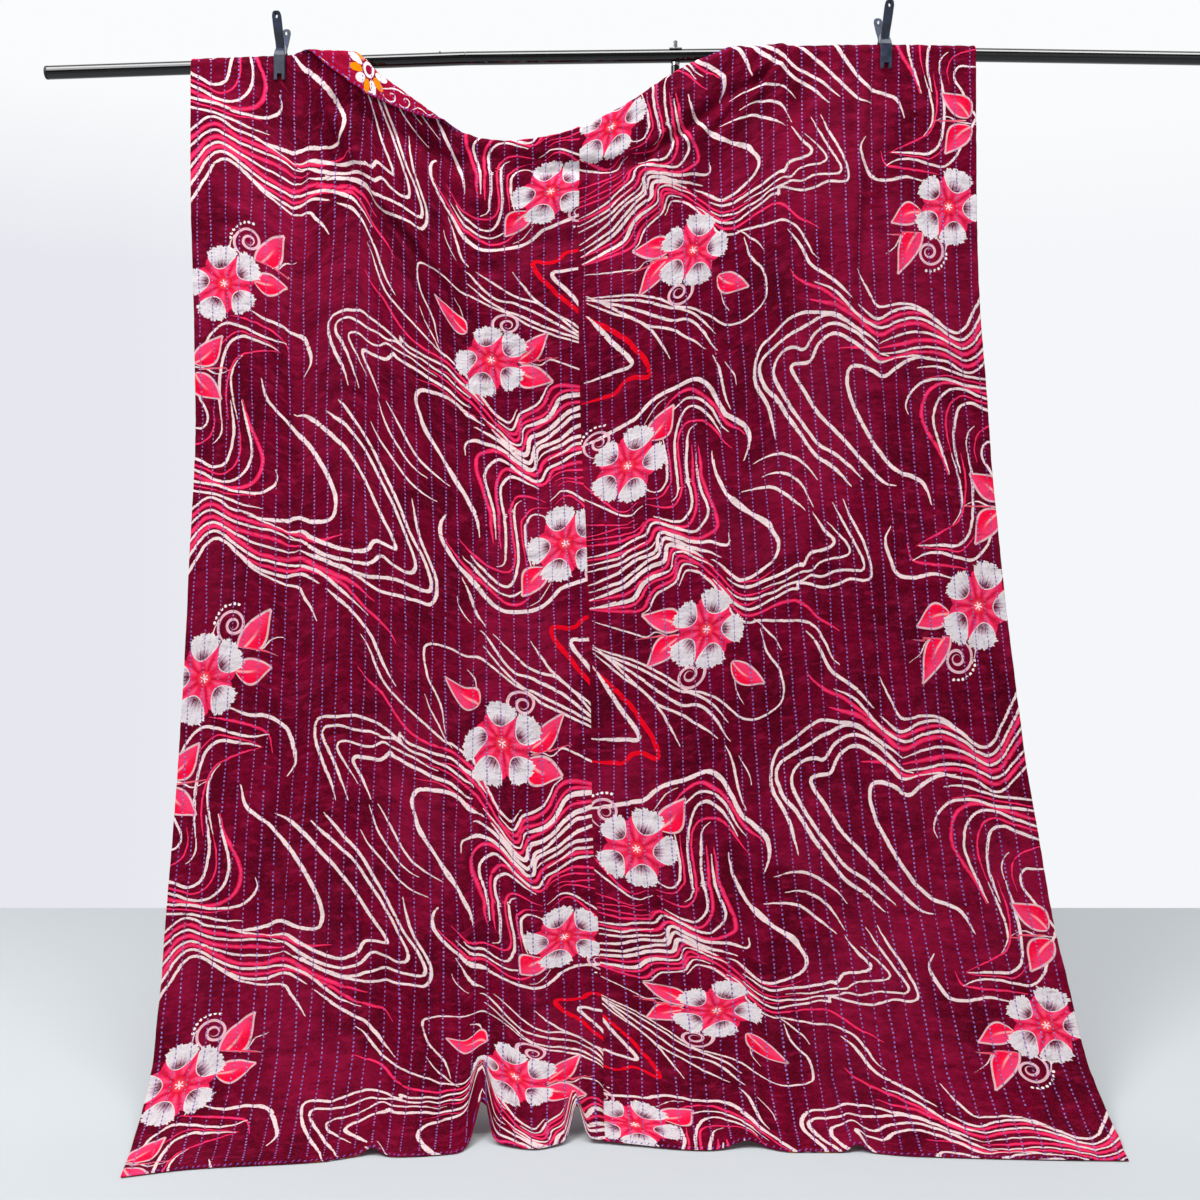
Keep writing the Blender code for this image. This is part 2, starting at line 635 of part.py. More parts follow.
def make_bar():
    half = SECTION_LENGTH / 2 - JOINT_GAP / 2
    for side in SECTION_TILT:
        low = -half + (PLUG_LENGTH + GAP if side == "left" else 0)
        high = half - (PLUG_LENGTH + GAP if side == "right" else 0)
        mesh = turned(f"bar_{side}", [(BAR_RADIUS, low), (BAR_RADIUS, high)], BAR_SIDES, BAR_BORE)
        place(f"bar_{side}", mesh, "black enamel", section_matrix(side))
    cut(bpy.data.objects["bar_middle"], spigot_drill(), Matrix.Translation((0, 0, BAR_HEIGHT)))
    plug_shank = BAR_BORE - GAP
    for side, flip in (("left", 0.0), ("right", math.pi)):
        rings = [(BAR_RADIUS - PLUG_ROUNDING, 0.0), (BAR_RADIUS - PLUG_ROUNDING / 3, PLUG_ROUNDING / 4)]
        rings += [(BAR_RADIUS, PLUG_ROUNDING), (BAR_RADIUS, PLUG_LENGTH)]
        rings += [(plug_shank, PLUG_LENGTH), (plug_shank, PLUG_LENGTH + PLUG_SHANK_LENGTH)]
        turn = Matrix.Rotation(flip, 4, "X") @ Matrix.Translation((0, 0, -SECTION_LENGTH / 2))
        plug = turned("plug", rings, BAR_SIDES)
        place(f"bar_plug_{side}", plug, "black plastic", section_matrix(side) @ turn)
        joint = SECTION_LENGTH / 2 * (-1 if side == "left" else 1)
        centre = Matrix.Translation((joint, 0, float(bar_axis(np.array(joint)))))
        tilt = math.radians((SECTION_TILT[side] + SECTION_TILT["middle"]) / 2)
        rings = rod_rings(BAR_BORE - 2 * GAP, -SLEEVE_HALF_LENGTH, SLEEVE_HALF_LENGTH, RIM_EDGE)
        lying = Matrix.Rotation(math.pi / 2 - tilt, 4, "Y")
        place(f"bar_sleeve_{side}", turned("sleeve", rings, SMALL_SIDES), "black enamel", centre @ lying)


def make_button():
    """The sprung lock button beside the left joint, standing on top of the bar."""
    rings = [(BUTTON_RADIUS, 0.0), (BUTTON_RADIUS, BUTTON_STANDS * 0.5), (BUTTON_RADIUS * 0.6, BUTTON_STANDS)]
    x = -SECTION_LENGTH / 2 - BUTTON_FROM_JOINT
    height = float(bar_axis(np.array(x))) + BAR_RADIUS + GAP
    button = turned("button", rings, TINY_SIDES)
    place("bar_lock_button", button, "spring steel", Matrix.Translation((x, 0, height)))


def make_saddle():
    """The curved washer on top of the bar, which the spigot comes through."""
    inner = BAR_RADIUS + GAP
    outer = inner + SADDLE_THICKNESS
    steps = 8
    points = []
    for x in (-SADDLE_HALF_WIDTH, SADDLE_HALF_WIDTH):
        for radius in (inner, outer):
            for i in range(steps + 1):
                angle = math.radians(SADDLE_HALF_ANGLE) * (2 * i / steps - 1)
                points.append((x, radius * math.sin(angle), radius * math.cos(angle)))
    row = steps + 1
    faces = []
    for i in range(steps):
        faces += [(i, row + i, row + i + 1, i + 1)]
        faces += [(2 * row + i, 2 * row + i + 1, 3 * row + i + 1, 3 * row + i)]
        faces += [(i, i + 1, 2 * row + i + 1, 2 * row + i)]
        faces += [(row + i, 3 * row + i, 3 * row + i + 1, row + i + 1)]
    faces += [(0, 2 * row, 3 * row, row), (steps, row + steps, 3 * row + steps, 2 * row + steps)]
    mesh = facing_out(mesh_from("bar_saddle", points, faces))
    tilt = math.radians(SECTION_TILT["middle"])
    matrix = Matrix.Translation((0, 0, BAR_HEIGHT)) @ Matrix.Rotation(-tilt, 4, "Y")
    saddle = place("bar_saddle", mesh, "black plastic", matrix)
    cut(saddle, spigot_drill(), Matrix.Translation((0, 0, BAR_HEIGHT)))


def make_post():
    underside = BAR_HEIGHT - BAR_RADIUS - GAP
    collar_base = underside - SPIGOT_COLLAR_HEIGHT
    split = COLLAR_BOTTOM + COLLAR_STEP
    rings = rod_rings(POST_UPPER_RADIUS + RIM_EDGE / 2, collar_base, underside, RIM_EDGE)
    place("spigot_collar", turned("spigot_collar", rings, BAR_SIDES), "bright steel")
    rings = rod_rings(SPIGOT_RADIUS, underside + GAP, BAR_HEIGHT + BAR_RADIUS + SPIGOT_STANDS, RIM_EDGE)
    place("spigot_pin", turned("spigot_pin", rings, SMALL_SIDES), "bright steel")
    rings = rod_rings(POST_UPPER_RADIUS, split, collar_base - GAP, RIM_EDGE / 2)
    place("post_upper", turned("post_upper", rings, POST_SIDES), "black enamel")
    rings = rod_rings(POST_LOWER_RADIUS, LOWER_HUB[0], split - GAP, RIM_EDGE / 2)
    place("post_lower", turned("post_lower", rings, POST_SIDES), "black enamel")
    rings = rod_rings(COLLAR_RADIUS, split, COLLAR_TOP, 2 * RIM_EDGE)
    place("post_collar", turned("post_collar", rings, POST_SIDES, POST_UPPER_RADIUS + GAP), "black plastic")
    rings = rod_rings(KNOB_RADIUS, COLLAR_RADIUS + GAP, COLLAR_RADIUS + KNOB_LENGTH, 2 * RIM_EDGE)
    middle = Matrix.Translation((0, 0, (split + COLLAR_TOP) / 2))
    knob = turned("post_knob", rings, SMALL_SIDES)
    place("post_knob", knob, "black plastic", middle @ Matrix.Rotation(-math.pi / 2, 4, "X"))


def make_tripod():
    for name, (low, high) in (("upper_hub", UPPER_HUB), ("lower_hub", LOWER_HUB)):
        rings = rod_rings(HUB_RADIUS, low, high, 2 * RIM_EDGE)
        place(name, turned(name, rings, POST_SIDES, POST_LOWER_RADIUS + GAP), "black plastic")
    hub_side = HUB_RADIUS + GAP
    slope = (LEG_TOP - FOOT_HEIGHT) / (LEG_REACH - hub_side)
    lean = math.atan(slope)
    drop = (LEG_RADIUS + GAP) / math.cos(lean)
    foot_rings = [(FOOT_RADIUS, 0.0), (FOOT_RADIUS, FOOT_RIM), (FOOT_RADIUS - 0.002, FOOT_HEIGHT)]
    for name, azimuth in LEG_AZIMUTHS.items():
        turn = Matrix.Rotation(math.radians(azimuth), 4, "Z")
        foot = turned("foot", foot_rings, SMALL_SIDES)
        place(f"foot_{name}", foot, "rubber", turn @ Matrix.Translation((LEG_REACH, 0, 0)))
        top, bottom = (hub_side, 0, LEG_TOP), (LEG_REACH, 0, FOOT_HEIGHT + GAP)
        leg = strut("leg", top, (1, 0, 0), bottom, (0, 0, 1), LEG_RADIUS, TINY_SIDES)
        place(f"leg_{name}", leg, "black enamel", turn)
        reach = hub_side + (LEG_REACH - hub_side) * BRACE_SHARE
        brace_end = (reach, 0, LEG_TOP - slope * (reach - hub_side) - drop)
        brace_start = (hub_side, 0, (LOWER_HUB[0] + LOWER_HUB[1]) / 2)
        away = (math.sin(lean), 0, math.cos(lean))
        brace = strut("brace", brace_start, (1, 0, 0), brace_end, away, BRACE_RADIUS, TINY_SIDES)
        place(f"brace_{name}", brace, "black enamel", turn)


# --------------------------------------------------------------------- clips
def clip_arm(name):
    """One arm of a spring clip: x across, y off the grip plane, z up from the bar's axis."""
    arm = columns(CLIP_ARM, CLIP_ARM_COLUMNS)
    count = len(arm["height"])
    slope_off = np.gradient(arm["off"], arm["height"])
    points = []
    for i in range(count):
        lean = math.atan(slope_off[i])
        up, away = -math.sin(lean), math.cos(lean)
        w, t = arm["half_width"][i], arm["half_thickness"][i]
        edge = min(CLIP_EDGE, t * 0.6)
        section = [(-w, -t + edge), (-w + edge, -t), (w - edge, -t), (w, -t + edge)]
        section += [(w, t - edge), (w - edge, t), (-w + edge, t), (-w, t - edge)]
        for across, deep in section:
            points.append((across, arm["off"][i] + deep * away, arm["height"][i] + deep * up))
    ring = len(section)
    faces = [tuple(reversed(range(ring))), tuple(range((count - 1) * ring, count * ring))]
    for i in range(count - 1):
        for j in range(ring):
            k = (j + 1) % ring
            faces.append((i * ring + j, i * ring + k, (i + 1) * ring + k, (i + 1) * ring + j))
    return facing_out(mesh_from(name, points, faces))


def make_clips():
    arm = columns(CLIP_ARM, CLIP_ARM_COLUMNS)
    hole_off = float(np.interp(CLIP_HOLE_HEIGHT, arm["height"], arm["off"]))
    inner_off = float(np.interp(SPRING_HEIGHT, arm["height"], arm["off"] - arm["half_thickness"]))
    spring_radius = CLIP_GRIP + inner_off - GAP
    for side, x in CLIP_PLACES.items():
        centre = Matrix.Translation((x, 0, float(bar_axis(np.array(x)))))
        for face, turn in (("front", math.pi), ("rear", 0.0)):
            frame = centre @ Matrix.Rotation(turn, 4, "Z") @ Matrix.Translation((0, CLIP_GRIP, 0))
            name = f"clip_{side}_{face}_arm"
            made = place(name, clip_arm(name), "black plastic", frame)
            rings = [(CLIP_HOLE_RADIUS, -CUTTER_DEPTH / 2), (CLIP_HOLE_RADIUS, CUTTER_DEPTH / 2)]
            drill = turned("handle hole", rings, TINY_SIDES)
            hole = Matrix.Translation((0, hole_off, CLIP_HOLE_HEIGHT))
            cut(made, drill, frame @ hole @ Matrix.Rotation(math.radians(90 + CLIP_HANDLE_LEAN), 4, "X"))
            notch = box("jaw notch", (CLIP_NOTCH_WIDTH, CUTTER_DEPTH, 2 * CLIP_NOTCH_HEIGHT))
            cut(made, notch, frame @ Matrix.Translation((0, 0, float(arm["height"][0]))))
        rings = rod_rings(spring_radius, -SPRING_HALF_LENGTH, SPRING_HALF_LENGTH, RIM_EDGE)
        lying = centre @ Matrix.Translation((0, 0, SPRING_HEIGHT)) @ Matrix.Rotation(math.pi / 2, 4, "Y")
        place(f"clip_{side}_spring", turned("spring", rings, SMALL_SIDES), "spring steel", lying)


def main():
    clear_scene()
    origin = bpy.data.objects.new("stand_origin", None)
    bpy.context.scene.collection.objects.link(origin)
    origin.location = (0.0, FRONT_TO_BACK_SHIFT, 0.0)
    make_quilt()
    make_bar()
    make_button()
    make_saddle()
    make_post()
    make_tripod()
    make_clips()


main()
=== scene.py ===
"""The looks of the kantha quilt on its stand: fine cloth in the solids' folds, stitches, print, finishes."""

import math

import bpy
import numpy as np
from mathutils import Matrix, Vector

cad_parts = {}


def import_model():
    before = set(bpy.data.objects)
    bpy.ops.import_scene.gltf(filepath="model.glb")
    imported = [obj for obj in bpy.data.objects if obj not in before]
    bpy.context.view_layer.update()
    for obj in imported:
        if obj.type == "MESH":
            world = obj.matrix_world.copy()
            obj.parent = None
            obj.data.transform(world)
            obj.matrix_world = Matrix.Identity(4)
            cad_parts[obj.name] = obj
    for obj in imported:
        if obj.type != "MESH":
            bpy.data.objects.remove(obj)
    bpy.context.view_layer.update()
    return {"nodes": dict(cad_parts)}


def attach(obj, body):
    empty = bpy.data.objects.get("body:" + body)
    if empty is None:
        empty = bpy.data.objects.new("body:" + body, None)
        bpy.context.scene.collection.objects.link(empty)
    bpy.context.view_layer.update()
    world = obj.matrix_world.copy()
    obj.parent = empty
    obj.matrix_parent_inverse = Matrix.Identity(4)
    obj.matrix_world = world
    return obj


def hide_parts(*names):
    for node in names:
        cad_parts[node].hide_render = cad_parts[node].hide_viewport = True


# The creases and the print are charted in centimetres or millimetres, as each table says.
CM_IN_M = 100
MM_IN_M = 1000
MM_IN_CM = 10

# ---------------------------------------------------------------- quilt sizes
QUILT_WIDTH = 1.500
QUILT_LENGTH = 2.100
LAYER_THICKNESS = 0.0013
LAYER_GAP = 0.0004
HALF_QUILT = LAYER_THICKNESS + LAYER_GAP / 2
REST_HEIGHT = HALF_QUILT + 0.00005
FRONT_TO_BACK_SHIFT = 0.1325
FOLD_SETTLES_OVER = 0.030
TOP_SETTLES_OVER = 0.30
# Below the bar the cloth takes the width that the photo shows between these levels.
HANGS_BETWEEN = (0.10, 0.75)
# Shares of a fold's length: where it is fully open, where it starts to close, and what its sides fade over.
FOLD_OPENS_BY = 0.4
FOLD_CLOSES_FROM = 0.6
CROSS_FOLD_FADE = 0.25
# How finely the drape is followed for its levels and its normals.
LEVEL_SAMPLES = 2000
NORMAL_STEP = 0.0015
LEAST_DISTANCE = 1e-6

# ---------------------------------------------------------------- stand sizes
BAR_HEIGHT = 1.749
BAR_RADIUS = 0.0125
SECTION_LENGTH = 0.780
QUILT_TO_BAR = 0.0008
BAR_CLEARANCE = BAR_RADIUS + QUILT_TO_BAR + HALF_QUILT

# Each bar section leans a little: rise to the right, in degrees.
SECTION_TILT = {"left": 1.95, "middle": 0.67, "right": -0.90}

# ------------------------------------------------- how the quilt hangs: tables
# Side profile from the bar to the front hem, with where the side edges and the seam lie at each level.
PROFILE_COLUMNS = ("y", "z", "left", "right", "seam_share")
PROFILE = (
    (-0.0150, 1.790, -0.897, 0.553, 0.490),
    (-0.0165, 1.560, -0.893, 0.556, 0.488),
    (-0.0200, 1.350, -0.885, 0.560, 0.485),
    (-0.0300, 1.108, -0.882, 0.571, 0.485),
    (-0.1000, 0.805, -0.876, 0.574, 0.490),
    (-0.2000, 0.488, -0.866, 0.581, 0.488),
    (-0.2600, 0.371, -0.859, 0.582, 0.485),
    (-0.3060, 0.290, -0.854, 0.581, 0.486),
    (-0.3500, 0.217, -0.848, 0.582, 0.487),
    (-0.3900, 0.160, -0.841, 0.584, 0.485),
    (-0.4300, 0.112, -0.836, 0.583, 0.485),
    (-0.4750, 0.068, -0.829, 0.582, 0.482),
    (-0.5250, 0.030, -0.826, 0.585, 0.479),
    (-0.5800, 0.008, -0.822, 0.584, 0.478),
    (-0.6300, REST_HEIGHT, -0.815, 0.575, 0.478),
    (-0.7400, REST_HEIGHT, -0.800, 0.556, 0.478),
)

# The fold along the top: height of its highest line, depth of the front sheet just below it, the fold's
# radius, how far it turns (1 is right round with the hem behind, 0 straight up, -1 right round with the hem
# in front), and the length of cloth from where it starts to turn up to the hem.
RIDGE_COLUMNS = ("x", "z", "front", "radius", "turn", "flap")
RIDGE = (
    (-0.896, 1.7420, -0.0147, 0.0147, 1.00, 0.092), (-0.800, 1.7450, -0.0147, 0.0147, 1.00, 0.084),
    (-0.745, 1.7470, -0.0147, 0.0147, 1.00, 0.062), (-0.728, 1.7477, -0.0147, 0.0147, 1.00, 0.048),
    (-0.714, 1.7488, -0.0149, 0.0147, 0.95, 0.034), (-0.703, 1.7503, -0.0165, 0.0125, 0.65, 0.019),
    (-0.694, 1.7510, -0.0195, 0.0080, 0.25, 0.011), (-0.685, 1.7515, -0.0210, 0.0065, -0.15, 0.010),
    (-0.675, 1.7510, -0.0215, 0.0060, -0.60, 0.014), (-0.662, 1.7500, -0.0215, 0.0060, -1.00, 0.024),
    (-0.645, 1.7490, -0.0215, 0.0060, -1.00, 0.038), (-0.615, 1.7480, -0.0215, 0.0065, -1.00, 0.060),
    (-0.589, 1.7455, -0.0215, 0.0065, -1.00, 0.076), (-0.574, 1.7360, -0.0215, 0.0060, -1.00, 0.077),
    (-0.550, 1.7100, -0.0220, 0.0060, -1.00, 0.063), (-0.500, 1.6730, -0.0220, 0.0060, -1.00, 0.048),
    (-0.450, 1.6360, -0.0225, 0.0060, -0.95, 0.026), (-0.427, 1.6205, -0.0230, 0.0060, -0.50, 0.015),
    (-0.405, 1.6075, -0.0240, 0.0060, 0.00, 0.011), (-0.383, 1.5975, -0.0250, 0.0060, 0.50, 0.015),
    (-0.355, 1.5890, -0.0260, 0.0060, 1.00, 0.024), (-0.310, 1.5850, -0.0280, 0.0065, 1.00, 0.033),
    (-0.250, 1.5910, -0.0290, 0.0065, 1.00, 0.042), (-0.180, 1.6090, -0.0290, 0.0065, 1.00, 0.045),
    (-0.110, 1.6420, -0.0290, 0.0060, 1.00, 0.044), (-0.030, 1.6930, -0.0290, 0.0050, 1.00, 0.036),
    (0.020, 1.7240, -0.0270, 0.0045, 0.90, 0.020), (0.052, 1.7400, -0.0235, 0.0050, 0.45, 0.012),
    (0.078, 1.7520, -0.0200, 0.0080, 0.25, 0.012), (0.100, 1.7600, -0.0170, 0.0110, 0.45, 0.017),
    (0.118, 1.7635, -0.0150, 0.0140, 0.80, 0.026), (0.135, 1.7648, -0.0147, 0.0147, 1.00, 0.036),
    (0.155, 1.7656, -0.0147, 0.0147, 1.00, 0.048), (0.178, 1.7690, -0.0148, 0.0148, 1.00, 0.062),
    (0.196, 1.7710, -0.0148, 0.0148, 1.00, 0.071), (0.214, 1.7660, -0.0147, 0.0147, 1.00, 0.078),
    (0.380, 1.7680, -0.0147, 0.0147, 1.00, 0.088), (0.554, 1.7655, -0.0147, 0.0147, 1.00, 0.092),
)

# How far forward the front hem reaches, along the quilt's width.
FRONT_HEM_COLUMNS = ("across", "y")
FRONT_HEM = (
    (0.000, -0.700), (0.110, -0.676), (0.310, -0.655), (0.390, -0.636), (0.430, -0.640), (0.520, -0.630),
    (0.560, -0.598), (0.640, -0.618), (0.715, -0.594), (0.780, -0.604), (0.900, -0.621), (0.975, -0.612),
    (1.030, -0.626), (1.120, -0.626), (1.200, -0.638), (1.420, -0.650), (1.500, -0.652),
)

# Folds that run down the quilt: place across at both ends, span of level (distance down the profile), width,
# and how far the fold stands out towards the viewer and up. "open" folds run on through the hem.
DOWN_FOLD_COLUMNS = ("top", "bottom", "start", "end", "width", "out", "up", "open")
DOWN_FOLDS = {
    "groove from the left clip": (0.195, 0.330, 0.04, 0.32, 0.016, -0.012, 0.0, False),
    "roll beside the groove": (0.235, 0.390, 0.05, 0.34, 0.020, 0.008, 0.0, False),
    "faint end of the groove": (0.320, 0.560, 0.22, 0.66, 0.032, -0.007, 0.0, False),
    "ridge under the right clip": (1.270, 1.262, 0.06, 0.55, 0.018, 0.006, 0.0, False),
    "soft ridge at the right edge": (1.420, 1.400, 0.20, 1.60, 0.040, 0.005, 0.0, False),
    "soft hollow left of the seam": (0.560, 0.600, 0.60, 1.60, 0.060, -0.008, 0.0, False),
    "soft ridge right of the seam": (0.900, 0.930, 0.50, 1.55, 0.060, 0.007, 0.0, False),
    "soft hollow on the left": (0.200, 0.180, 0.45, 1.50, 0.050, -0.006, 0.0, False),
    "left pleat": (0.385, 0.392, 1.58, 1.80, 0.014, -0.012, 0.0, False),
    "left pleat at the hem": (0.392, 0.392, 1.84, 2.02, 0.016, -0.004, 0.009, True),
    "left gap": (0.553, 0.562, 1.77, 2.00, 0.013, -0.034, 0.044, True),
    "tongue between the gaps": (0.630, 0.640, 1.80, 1.95, 0.030, 0.010, 0.004, False),
    "right gap": (0.700, 0.713, 1.84, 2.00, 0.011, -0.030, 0.040, True),
    "roll over the right gap": (0.738, 0.735, 1.76, 1.94, 0.012, 0.014, 0.012, False),
    "right pleat": (1.112, 1.122, 1.66, 1.93, 0.014, -0.012, 0.0, False),
    "right pleat at the hem": (1.122, 1.125, 1.86, 2.02, 0.013, -0.004, 0.009, True),
    "low arch by the seam": (0.955, 0.965, 1.88, 2.02, 0.024, -0.003, 0.008, True),
}

# Folds that run across: their route as (place across, level), then width and how far they stand out.
CROSS_FOLD_COLUMNS = ("route", "width", "out")
CROSS_FOLDS = {
    "crease under the sagging hem": (
        ((0.54, 0.175), (0.61, 0.205), (0.70, 0.222), (0.82, 0.222), (0.93, 0.165), (1.01, 0.105),
        (1.10, 0.040)), 0.015, -0.011),
    "second swag": (
        ((0.50, 0.300), (0.66, 0.350), (0.82, 0.345), (0.98, 0.260), (1.10, 0.150)), 0.030, -0.006),
    "pleat by the crossing": (((1.075, 0.060), (1.105, 0.035), (1.135, 0.010)), 0.009, 0.007),
    "pinch over the left gap": (((0.50, 1.700), (0.55, 1.735), (0.61, 1.745)), 0.018, -0.010),
    "crease over the roll": (((0.68, 1.765), (0.73, 1.775), (0.78, 1.760)), 0.014, -0.009),
    "low hollow on the right": (((0.95, 1.500), (1.15, 1.560), (1.40, 1.520)), 0.050, -0.007),
}


# Where the clips stand along the bar.
CLIP_PLACES = {"left": -0.731, "right": 0.387}


# ------------------------------------------------------------ quilt's surface
def columns(table, names):
    return dict(zip(names, np.array(table, float).T))


def smooth_curve(x, knots, values):
    """A curve through the knots that never overshoots between them."""
    step = np.diff(knots)
    slope = np.diff(values) / step
    same_way = slope[1:] * slope[:-1] > 0
    mean = np.where(same_way, 2 * slope[1:] * slope[:-1] / np.where(same_way, slope[1:] + slope[:-1], 1), 0)
    tangent = np.concatenate([slope[:1], mean, slope[-1:]])
    x = np.clip(x, knots[0], knots[-1])
    i = np.clip(np.searchsorted(knots, x, side="right") - 1, 0, len(knots) - 2)
    u = (x - knots[i]) / step[i]
    low = values[i] * (1 + 2 * u) + tangent[i] * step[i] * u
    high = values[i + 1] * (3 - 2 * u) - tangent[i + 1] * step[i] * (1 - u)
    return low * (1 - u) ** 2 + high * u**2


def ramp(x, low, high):
    """0 below low, 1 above high, smooth between."""
    u = np.clip((x - low) / (high - low), 0, 1)
    return u * u * (3 - 2 * u)


def running_length(*coordinates):
    steps = np.sqrt(sum(np.diff(c) ** 2 for c in coordinates))
    return np.concatenate([[0], np.cumsum(steps)])


def bar_axis(x):
    """Height of the bar's axis at x."""
    tilt = {side: math.tan(math.radians(degrees)) for side, degrees in SECTION_TILT.items()}
    half = SECTION_LENGTH / 2
    inner = np.clip(x, -half, half)
    outward = x - inner
    return BAR_HEIGHT + tilt["middle"] * inner + np.where(x < 0, tilt["left"], tilt["right"]) * outward


class Drape:
    """The quilt's middle surface. across runs from the left edge over the width, and down is measured along
    the cloth from where the fold at the top starts to turn: below 0 it is in the fold or on the flap."""

    def __init__(self):
        self.ridge = columns(RIDGE, RIDGE_COLUMNS)
        length = running_length(self.ridge["x"], self.ridge["z"])
        self.ridge_across = length * QUILT_WIDTH / length[-1]
        self.profile = columns(PROFILE, PROFILE_COLUMNS)
        self.level = running_length(self.profile["y"], self.profile["z"])
        self.hem = columns(FRONT_HEM, FRONT_HEM_COLUMNS)
        self.fine_level = np.linspace(0, self.level[-1], LEVEL_SAMPLES)
        self.fine_y = self.at_level("y", self.fine_level)
        self.fine_z = self.at_level("z", self.fine_level)
        self.zero_level = self.level_of_height(BAR_HEIGHT)

    def at_level(self, name, level):
        return smooth_curve(level, self.level, self.profile[name])

    def at_ridge(self, name, across):
        return smooth_curve(across, self.ridge_across, self.ridge[name])

    def level_of_height(self, height):
        return np.interp(-height, -self.fine_z, self.fine_level)

    def top_fold(self, across, beyond):
        """Offsets back and up of cloth that lies this far beyond the start of the fold at the top."""
        radius, turn = self.at_ridge("radius", across), self.at_ridge("turn", across)
        most = np.abs(turn) * math.pi
        angle = np.minimum(beyond / radius, most)
        straight = np.maximum(beyond - radius * most, 0)
        back = radius * (1 - np.cos(angle)) + straight * np.sin(most)
        return np.sign(turn) * back, radius * np.sin(angle) + straight * np.cos(most)

    def fold_rise(self, across):
        """How far the fold's highest line lies above its start."""
        radius, turn = self.at_ridge("radius", across), self.at_ridge("turn", across)
        flap = self.at_ridge("flap", across)
        most = np.minimum(np.abs(turn) * math.pi, math.pi / 2)
        angle = np.minimum(flap / radius, most)
        return radius * np.sin(angle) + np.maximum(flap - radius * most, 0) * np.cos(most)

    def main_length(self, across):
        """Length of cloth from the fold at the top to the front hem."""
        return QUILT_LENGTH - self.at_ridge("flap", across)

    def hem_level(self, across):
        hem_y = smooth_curve(across, self.hem["across"], self.hem["y"])
        return np.interp(-hem_y, -self.fine_y, self.fine_level)

    def fold_offsets(self, across, level):
        """How far all folds together move the surface out, towards the viewer, and up."""
        out = np.zeros_like(level)
        up = np.zeros_like(level)
        for values in DOWN_FOLDS.values():
            fold = dict(zip(DOWN_FOLD_COLUMNS, values))
            share = np.clip((level - fold["start"]) / (fold["end"] - fold["start"]), 0, 1)
            centre = fold["top"] + (fold["bottom"] - fold["top"]) * share
            strength = np.exp(-(((across - centre) / fold["width"]) ** 2)) * ramp(share, 0.0, FOLD_OPENS_BY)
            if not fold["open"]:
                strength = strength * (1 - ramp(share, FOLD_CLOSES_FROM, 1.0))
            out += fold["out"] * strength
            up += fold["up"] * strength
        for values in CROSS_FOLDS.values():
            fold = dict(zip(CROSS_FOLD_COLUMNS, values))
            route = np.array(fold["route"]).T
            centre = smooth_curve(across, route[0], route[1])
            fade = CROSS_FOLD_FADE * (route[0][-1] - route[0][0])
            strength = np.exp(-(((level - centre) / fold["width"]) ** 2))
            strength = strength * ramp(across, route[0][0] - fade / 2, route[0][0] + fade)
            strength = strength * (1 - ramp(across, route[0][-1] - fade, route[0][-1] + fade / 2))
            out += fold["out"] * strength
        return out, up

    def point(self, across, down):
        """Positions (x, y, z) on the middle surface, for arrays of across and down."""
        front = self.at_ridge("front", across)
        ridge_x = self.at_ridge("x", across)
        turn_height = self.at_ridge("z", across) - self.fold_rise(across)
        back, rise = self.top_fold(across, np.maximum(-down, 0))

        start = self.level_of_height(turn_height)
        end = self.hem_level(across)
        level = start + (end - start) * np.clip(down / self.main_length(across), 0, 1)
        below = down > 0
        settle = 1 - ramp(level - start, 0.0, TOP_SETTLES_OVER)
        main_y = self.at_level("y", level) + (front - self.at_level("y", start)) * settle
        y = np.where(below, main_y, front + back)
        z = np.where(below, self.at_level("z", level), turn_height + rise)

        left, right = self.at_level("left", level), self.at_level("right", level)
        width_share = across / QUILT_WIDTH
        bend = 4 * (self.at_level("seam_share", level) - 0.5) * width_share * (1 - width_share)
        hung_x = left + (right - left) * (width_share + bend)
        hung = ramp(level - self.zero_level, *HANGS_BETWEEN)
        x = np.where(below, ridge_x + (hung_x - ridge_x) * hung, ridge_x)

        out, up = self.fold_offsets(across, level - self.zero_level)
        near_turn = ramp(down, 0.0, FOLD_SETTLES_OVER)
        y = y - out * near_turn
        z = np.maximum(z + up * near_turn, REST_HEIGHT)
        return self.clear_of_bar(x, y, z)

    @staticmethod
    def clear_of_bar(x, y, z):
        """Moves points that would lie in the bar straight out from its axis."""
        height = z - bar_axis(x)
        distance = np.maximum(np.hypot(y, height), LEAST_DISTANCE)
        push = np.where(distance < BAR_CLEARANCE, BAR_CLEARANCE / distance, 1.0)
        return np.stack([x, y * push, bar_axis(x) + height * push], axis=-1)

    def normal(self, across, down):
        """Unit normals that point to the printed side."""
        step = NORMAL_STEP
        low, high = np.clip(across - step, 0, QUILT_WIDTH), np.clip(across + step, 0, QUILT_WIDTH)
        along = self.point(high, down) - self.point(low, down)
        down_cloth = self.point(across, down + step) - self.point(across, down - step)
        normal = np.cross(down_cloth, along)
        return normal / np.linalg.norm(normal, axis=-1, keepdims=True)


# --------------------------------------------------------------- fine cloth
COLUMNS_A_ROW = {1: 6, -1: 4}
LENGTH_STEPS = {1: (0.0041, 0.0032), -1: (0.0055, 0.0044)}
TOP_LENGTH = 0.120
EDGE_ROUND = 0.0025
EDGE_PLACES = (0.0, 0.0004, 0.0012)
SEAM_GROOVE = 0.0040
SEAM_DEPTH = 0.0009
ROW_PITCH = 0.0250
ROW_FIRST = 0.0125
ROWS_STRAIGHT_WITHIN = 0.009
STITCH_PITCH = 0.0074
STITCH_LENGTH = 0.0034
STITCH_WIDTH = 0.0025
STITCH_HEIGHT = 0.00055
CHANNEL_DEPTH = 0.0012
LEAST_HEIGHT = 0.0003
CLIP_REACH = 0.0125
LOWEST = {1: 0.0012, -1: 0.0004}

